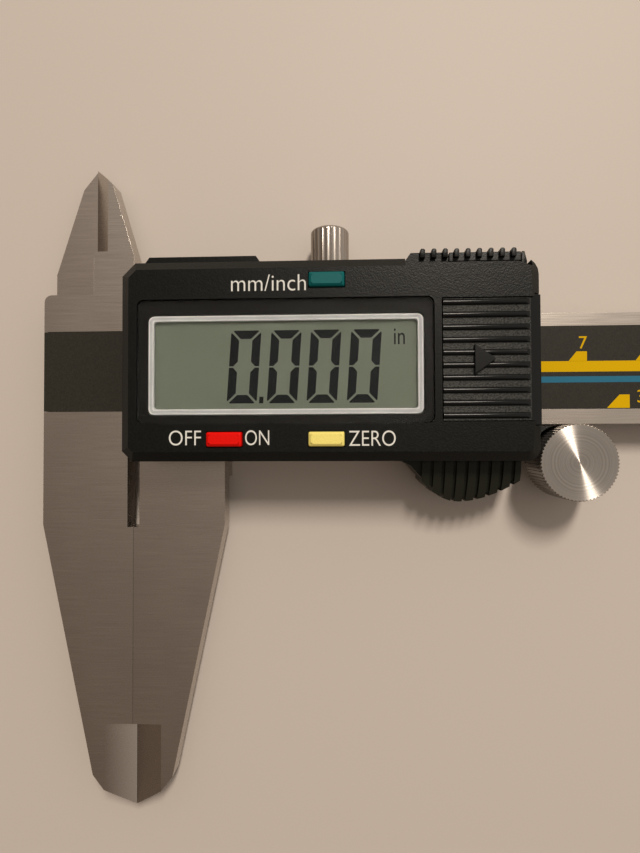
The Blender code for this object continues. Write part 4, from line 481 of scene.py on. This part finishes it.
# The thumb rest below the case's lower edge is coloured a lighter grey, blended in over a short band.
REST_ROOT, REST_BLEND = -5.45, 0.3
tree = case_black.node_tree
place = add(tree, "ShaderNodeTexCoord")
across = add(tree, "ShaderNodeSeparateXYZ", [("Vector", place.outputs["Object"])])
rest_band = add(
    tree,
    "ShaderNodeMapRange",
    [
        ("Value", across.outputs["Y"]),
        ("From Min", at(0.0, REST_ROOT, 0.0).y),
        ("From Max", at(0.0, REST_ROOT - REST_BLEND, 0.0).y),
    ],
)
shader = tree.nodes["Principled BSDF"]
case_shade = shader.inputs["Base Color"].links[0].from_socket
rest_shade = add(
    tree,
    "ShaderNodeMix",
    [("Factor", rest_band.outputs["Result"]), (MIX_A, case_shade), (MIX_B, linear("#24261F"))],
    data_type="RGBA",
)
tree.links.new(rest_shade.outputs[MIX_COLOUR], shader.inputs["Base Color"])
finished("front_case", case_black, edge=0.12, angle=30)
# The port cover is of the same plastic, and looks a little greyer.
cover_black = grained(
    "moulded_cover_abs", "#191A1A", roughness=0.4, grain=0.22, depth=0.06, lighter=1.6, specular=0.25
)
lid_black = grained(
    "moulded_lid_abs", "#2A2B29", roughness=0.45, grain=0.24, depth=0.14, lighter=2.1, specular=0.26
)
# The lid's flats are coarsely spark eroded. Its ribs and its end are rubbed smooth by thumbs, and drawn
# darker in painted shade, for the dark room their smooth faces reflect.
LID_FLAT = CASE_FACE - 0.21
RIB_START, RIB_FULL = 0.03, 0.12
LID_END, LID_BLEND = 59.2, 0.1
tree = lid_black.node_tree
place = add(tree, "ShaderNodeTexCoord")
parts = add(tree, "ShaderNodeSeparateXYZ", [("Vector", place.outputs["Object"])])
ribs = add(
    tree,
    "ShaderNodeMapRange",
    [
        ("Value", parts.outputs["Z"]),
        ("From Min", at(0.0, 0.0, LID_FLAT + RIB_START).z),
        ("From Max", at(0.0, 0.0, LID_FLAT + RIB_FULL).z),
    ],
)
end = add(
    tree,
    "ShaderNodeMapRange",
    [
        ("Value", parts.outputs["X"]),
        ("From Min", at(LID_END, 0.0, 0.0).x),
        ("From Max", at(LID_END + LID_BLEND, 0.0, 0.0).x),
    ],
)
rubbed_and_shaded = add(
    tree, "ShaderNodeMath", [(0, ribs.outputs["Result"]), (1, end.outputs["Result"])], operation="MAXIMUM"
)
shader = tree.nodes["Principled BSDF"]
flat_shade = shader.inputs["Base Color"].links[0].from_socket
# The ribs' and the end's darker colour is painted shade, standing in for the dark room their smooth faces
# reflect.
lid_shade = add(
    tree,
    "ShaderNodeMix",
    [("Factor", rubbed_and_shaded.outputs[0]), (MIX_A, flat_shade), (MIX_B, linear("#0B0C0C"))],
    data_type="RGBA",
)
tree.links.new(lid_shade.outputs[MIX_COLOUR], shader.inputs["Base Color"])
relief = add(tree, "ShaderNodeMapRange", [("Value", rubbed_and_shaded.outputs[0])], To_Min=0.9, To_Max=0.06)
gloss = add(tree, "ShaderNodeMapRange", [("Value", rubbed_and_shaded.outputs[0])], To_Min=0.5, To_Max=0.28)
tree.links.new(gloss.outputs["Result"], shader.inputs["Roughness"])
tree.links.new(relief.outputs["Result"], tree.nodes["Bump"].inputs["Strength"])
finished("battery_cover", lid_black, edge=0.06, angle=50)
finished("port_cover", cover_black, edge=0.12, angle=30)

# Lettering on the case: thin white sans letters beside each button, hot stamped from foil
# into the case's face. The foil is an even, soft white without gloss.
stamp_white = grained("white_stamping_foil", "#D6D6D0", roughness=0.5, grain=0.12, depth=0.004, lighter=1.03)
STAMP_FACE = CASE_FACE + PRINT_FACE
STAMP_THIN = 0.008
STAMPS = (
    ("unit_words", "mm/inch", (17.28, 18.80), (10.65, 2.33)),
    ("off_word", "OFF", (8.38, -3.04), (4.6, 2.11)),
    ("on_word", "ON", (19.27, -3.04), (3.42, 2.11)),
    ("zero_word", "ZERO", (33.91, -3.19), (6.51, 2.15)),
)
for name, words, place, size in STAMPS:
    lettered(name, words, place, size, stamp_white, "slider", STAMP_FACE, thin=STAMP_THIN)

# The three buttons: moulded in coloured ABS in a smooth mould, which gives a clear, even
# colour and a soft shine on the edges. Each slides in its slot, on a steel dome on the board.
BUTTON_COLOURS = {"unit_button": "#0A5A5B", "power_button": "#D90C03", "zero_button": "#E9DA7B"}
for node, colour in BUTTON_COLOURS.items():
    abs_name = node.replace("button", "abs")
    plastic = grained(abs_name, colour, roughness=0.38, grain=0.2, depth=0.01, lighter=1.05)
    finished(node, plastic, edge=0.22, steps=3, angle=30, above=CASE_FACE * MM + DATUM.z)

# The window: a clear acrylic pane, polished and coated against glare, which keeps its face
# dark. It is bonded into the case over the silver frame.
pane = bpy.data.materials.new("polished_acrylic")
pane.use_nodes = True
shader = pane.node_tree.nodes["Principled BSDF"]
shader.inputs["Base Color"].default_value = linear("#FFFFFF")
shader.inputs["Roughness"].default_value = 0.03
shader.inputs["IOR"].default_value = 1.22
shader.inputs["Transmission Weight"].default_value = 1.0
finished("display_window", pane, edge=0.08, angle=40)

# The silver frame: a moulded ring clipped into the case, in satin silver paint. It is a light,
# cool grey. Fine raised rims run round both its edges, coloured near white as a painted highlight.
satin_silver = grained("satin_silver_paint", "#D3D8DA", roughness=0.35, grain=0.1, depth=0.004, lighter=1.04)
finished("display_bezel", satin_silver, edge=0.12, steps=3, angle=40)
# The rims' near-white colour is a painted highlight, for the light their edges catch.
rim_highlight_silver = grained("painted_highlight_silver", "#F4F6F6", roughness=0.3, grain=0.1, depth=0.003, lighter=1.02)
FRAME_X = (5.1, 44.5)
FRAME_Y = (1.3, 15.57)
FRAME_FACE = 8.35
FRAME_CORNER, FRAME_LEAST_CORNER, FRAME_CORNER_STEP = 0.9, 0.3, 15
RIMS = ((0.08, 0.24), (0.63, 0.79))
RIM_RISE, RIM_ROOT = 0.05, 0.02


def frame_loop(inset):
    """The frame's rounded outline, taken in by some millimetres."""
    corner = max(FRAME_CORNER - inset, FRAME_LEAST_CORNER)
    low, high = FRAME_Y[0] + inset + corner, FRAME_Y[1] - inset - corner
    left, right = FRAME_X[0] + inset + corner, FRAME_X[1] - inset - corner
    loop = []
    for x, y, start in ((right, high, 0), (left, high, 90), (left, low, 180), (right, low, 270)):
        for degrees in range(start, start + 91, FRAME_CORNER_STEP):
            turn = math.radians(degrees)
            loop.append((x + corner * math.cos(turn), y + corner * math.sin(turn)))
    return loop


rim_faces = []
for outer_inset, inner_inset in RIMS:
    outer, inner = frame_loop(outer_inset), frame_loop(inner_inset)
    for index in range(len(outer)):
        rim_faces.append([outer[index - 1], outer[index], inner[index], inner[index - 1]])
printed("frame_rims", rim_faces, FRAME_FACE + RIM_RISE, rim_highlight_silver, "slider", RIM_RISE + RIM_ROOT)

# The display: a liquid crystal behind glass, held under the frame. The reflector behind it
# gives an even grey-green, on which the segments are blue black and lean to the right.
crystal = grained("reflective_crystal", "#798375", roughness=0.3, grain=0.6, depth=0.0, lighter=1.01)
frame["nodes"]["display_glass"].data.materials[0] = crystal
segment_ink = grained("segment_liquid_crystal", "#10171A", roughness=0.3, grain=0.3, depth=0.0, lighter=1.08)
GLASS_FACE = 7.75
SEGMENT_FACE = GLASS_FACE + 0.02
DIGIT_LEFTS = (16.35, 22.15, 27.85, 33.60)
DIGIT_LOW, DIGIT_HIGH, DIGIT_WIDTH = 2.95, 13.45, 4.35
SEGMENT_WIDTH, SEGMENT_SPLIT, SEGMENT_CORNER = 1.22, 0.22, 0.24
SEGMENT_BLUNT = 0.55
SLANT = 0.068
DECIMAL_POINT = [(21.05, 2.95), (21.65, 2.95), (21.7, 3.9), (21.1, 3.9)]
INCH_SIGN_PLACE, INCH_SIGN_SIZE = (40.36, 11.25), (1.55, 2.26)


def slanted(left, corners):
    """Segment corners, given from a digit's lower left, with the display's lean put in."""
    return [(left + x + (y - DIGIT_LOW) * SLANT, y) for x, y in corners]


def digit_zero(left):
    """The six segments of a nought: two bars and four uprights, mitred at 45 degrees."""
    wide, low, high = DIGIT_WIDTH, DIGIT_LOW, DIGIT_HIGH
    thick, split, cut = SEGMENT_WIDTH, SEGMENT_SPLIT, SEGMENT_CORNER
    middle = (low + high) / 2
    shapes = []
    for edge, inward in ((low, 1), (high, -1)):
        inner = edge + inward * thick
        cut_edge = edge + inward * cut / 2
        shapes.append(
            [
                (split + cut, edge),
                (wide - split - cut, edge),
                (wide - split - cut / 2, cut_edge),
                (wide - thick - split, inner),
                (thick + split, inner),
                (split + cut / 2, cut_edge),
            ]
        )
        near = middle - inward * split / 2
        far = edge + inward * split
        upright = [
            (cut / 2, far + inward * cut / 2),
            (thick, far + inward * thick),
            (thick, near - inward * thick * SEGMENT_BLUNT),
            (thick / 2, near),
            (0, near),
            (0, far + inward * cut),
        ]
        shapes.append(upright)
        shapes.append([(wide - x, y) for x, y in upright])
    return [slanted(left, shape) for shape in shapes]


segments = [shape for left in DIGIT_LEFTS for shape in digit_zero(left)]
printed("display_digits", segments + [DECIMAL_POINT], SEGMENT_FACE, segment_ink, "slider")
lettered("display_unit", "in", INCH_SIGN_PLACE, INCH_SIGN_SIZE, segment_ink, "slider", SEGMENT_FACE)

# Behind the display: the board under green solder mask, its chip in black epoxy, grey rubber
# contact strips, bright rolled steel domes, the cell and its contacts. The case holds them
# together, and they show only with the cover open.
solder_mask = grained("green_solder_mask", "#1E5C33", roughness=0.4, grain=0.4, depth=0.01)
epoxy = grained("black_epoxy", "#141414", roughness=0.35, grain=0.5, depth=0.02)
contact_rubber = grained("striped_contact_rubber", "#5E5A55", roughness=0.7, grain=0.2, depth=0.02)
rolled_steel = brushed_steel("rolled_contact_steel", "#A8A5A0", "X", roughness=0.25)
frame["nodes"]["circuit_board"].data.materials[0] = solder_mask
for node in ("chip_cover", "port_contacts"):
    frame["nodes"][node].data.materials[0] = epoxy
for node in ("zebra_strip_low", "zebra_strip_high"):
    frame["nodes"][node].data.materials[0] = contact_rubber
for node in ("unit_dome", "power_dome", "zero_dome", "battery", "battery_spring", "battery_contact"):
    finished(node, rolled_steel)

# The thumb roller: turned steel, knurled on its rim. Its face is cut in fine rings, so a lamp
# shows in it as a bright fan through the centre.
ROLLER_MIDDLE = (67.2, -5.76)
# The rings are coarser than a lathe leaves them, so that they show.
RING_WIDTH, RING_DEEP = 0.25, 0.02
turned = bpy.data.materials.new("turned_steel_face")
turned.use_nodes = True
tree = turned.node_tree
shader = tree.nodes["Principled BSDF"]
shader.inputs["Metallic"].default_value = 1.0
shader.inputs["Roughness"].default_value = 0.27
shader.inputs["Anisotropic"].default_value = 1.0
place = add(tree, "ShaderNodeTexCoord")
centred = add(
    tree,
    "ShaderNodeVectorMath",
    [(0, place.outputs["Object"]), (1, at(*ROLLER_MIDDLE, 0.0))],
    operation="SUBTRACT",
)
parts = add(tree, "ShaderNodeSeparateXYZ", [("Vector", centred.outputs["Vector"])])
outward = add(tree, "ShaderNodeCombineXYZ", [("X", parts.outputs["X"]), ("Y", parts.outputs["Y"])])
outward_unit = add(tree, "ShaderNodeVectorMath", [(0, outward.outputs["Vector"])], operation="NORMALIZE")
tree.links.new(outward_unit.outputs["Vector"], shader.inputs["Tangent"])
distance = add(tree, "ShaderNodeVectorMath", [(0, outward.outputs["Vector"])], operation="LENGTH")
rings = add(
    tree,
    "ShaderNodeTexNoise",
    [("W", distance.outputs["Value"]), ("Scale", 1 / (RING_WIDTH * MM))],
    noise_dimensions="1D",
)
ring_level = add(tree, "ShaderNodeMapRange", [("Value", rings.outputs["Fac"])], From_Min=0.35, From_Max=0.65)
ring_shade = add(
    tree,
    "ShaderNodeMix",
    [("Factor", ring_level.outputs["Result"]), (MIX_A, linear("#A8A29B")), (MIX_B, linear("#B9B3AC"))],
    data_type="RGBA",
)
tree.links.new(ring_shade.outputs[MIX_COLOUR], shader.inputs["Base Color"])
ring_bump = add(tree, "ShaderNodeBump", [("Height", rings.outputs["Fac"])], Strength=0.6)
ring_bump.inputs["Distance"].default_value = RING_DEEP * MM
tree.links.new(ring_bump.outputs["Normal"], shader.inputs["Normal"])
WHEEL_RADIUS, WHEEL_CHAMFER = 5.5, 0.07
WHEEL_LOW, WHEEL_HIGH = -3.0, 5.0
BORE_RADIUS, BORE_TOP = 1.62, 3.8
# Four steps make a tooth of the knurl: two at its root and two at its tip, drawn a bit apart.
TEETH, TOOTH, TOOTH_STEPS, TOOTH_LEAN = 66, 0.14, 4, 0.4
# Each row round the wheel: radius without teeth, height, and whether the knurl shows in it.
rows = [
    (BORE_RADIUS, BORE_TOP, False),
    (BORE_RADIUS, WHEEL_LOW, False),
    (WHEEL_RADIUS - WHEEL_CHAMFER, WHEEL_LOW, True),
    (WHEEL_RADIUS, WHEEL_LOW + WHEEL_CHAMFER, True),
    (WHEEL_RADIUS, WHEEL_HIGH - WHEEL_CHAMFER, True),
    (WHEEL_RADIUS - WHEEL_CHAMFER, WHEEL_HIGH, True),
]
bm = bmesh.new()
rounds = []
for radius, height, knurled in rows:
    corners = []
    for step in range(TOOTH_STEPS * TEETH):
        reach = radius + (TOOTH if knurled and step % TOOTH_STEPS > 1 else 0.0)
        turn = math.tau * (step + TOOTH_LEAN * (step % 2)) / (TOOTH_STEPS * TEETH)
        x = ROLLER_MIDDLE[0] + reach * math.cos(turn)
        y = ROLLER_MIDDLE[1] + reach * math.sin(turn)
        corners.append(bm.verts.new(at(x, y, height)))
    rounds.append(corners)
for below, over in zip(rounds, rounds[1:]):
    for first, second, third, fourth in zip(below, over, over[1:] + over[:1], below[1:] + below[:1]):
        bm.faces.new((first, second, third, fourth))
for corners, height in ((rounds[0], BORE_TOP), (rounds[-1], WHEEL_HIGH)):
    hub = bm.verts.new(at(*ROLLER_MIDDLE, height))
    for first, second in zip(corners, corners[1:] + corners[:1]):
        bm.faces.new((hub, first, second))
bmesh.ops.recalc_face_normals(bm, faces=bm.faces)
wheel = bpy.data.objects.new("knurled_wheel", bpy.data.meshes.new("knurled_wheel"))
bm.to_mesh(wheel.data)
bm.free()
wheel.data.materials.append(turned)
wheel.data.shade_smooth()
wheel.data.set_sharp_from_angle(angle=math.radians(25))
bpy.context.scene.collection.objects.link(wheel)
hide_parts("thumb_roller")
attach(wheel, "thumb_roller")
finished("roller_axle", screw_steel, edge=0.05)
finished("roller_bracket", cover_black, edge=0.1, angle=30)

# The lock screw: turned brass with a straight knurl, screwed into the slider's upper side to
# clamp it to the beam. Its nickel plate is a slightly warm silver, in bright and dark flutes.
nickel = brushed_steel("nickel_plated_brass", "#A9A29A", "Y", roughness=0.24)
finished("lock_screw", nickel, edge=0.05, steps=1, angle=50)
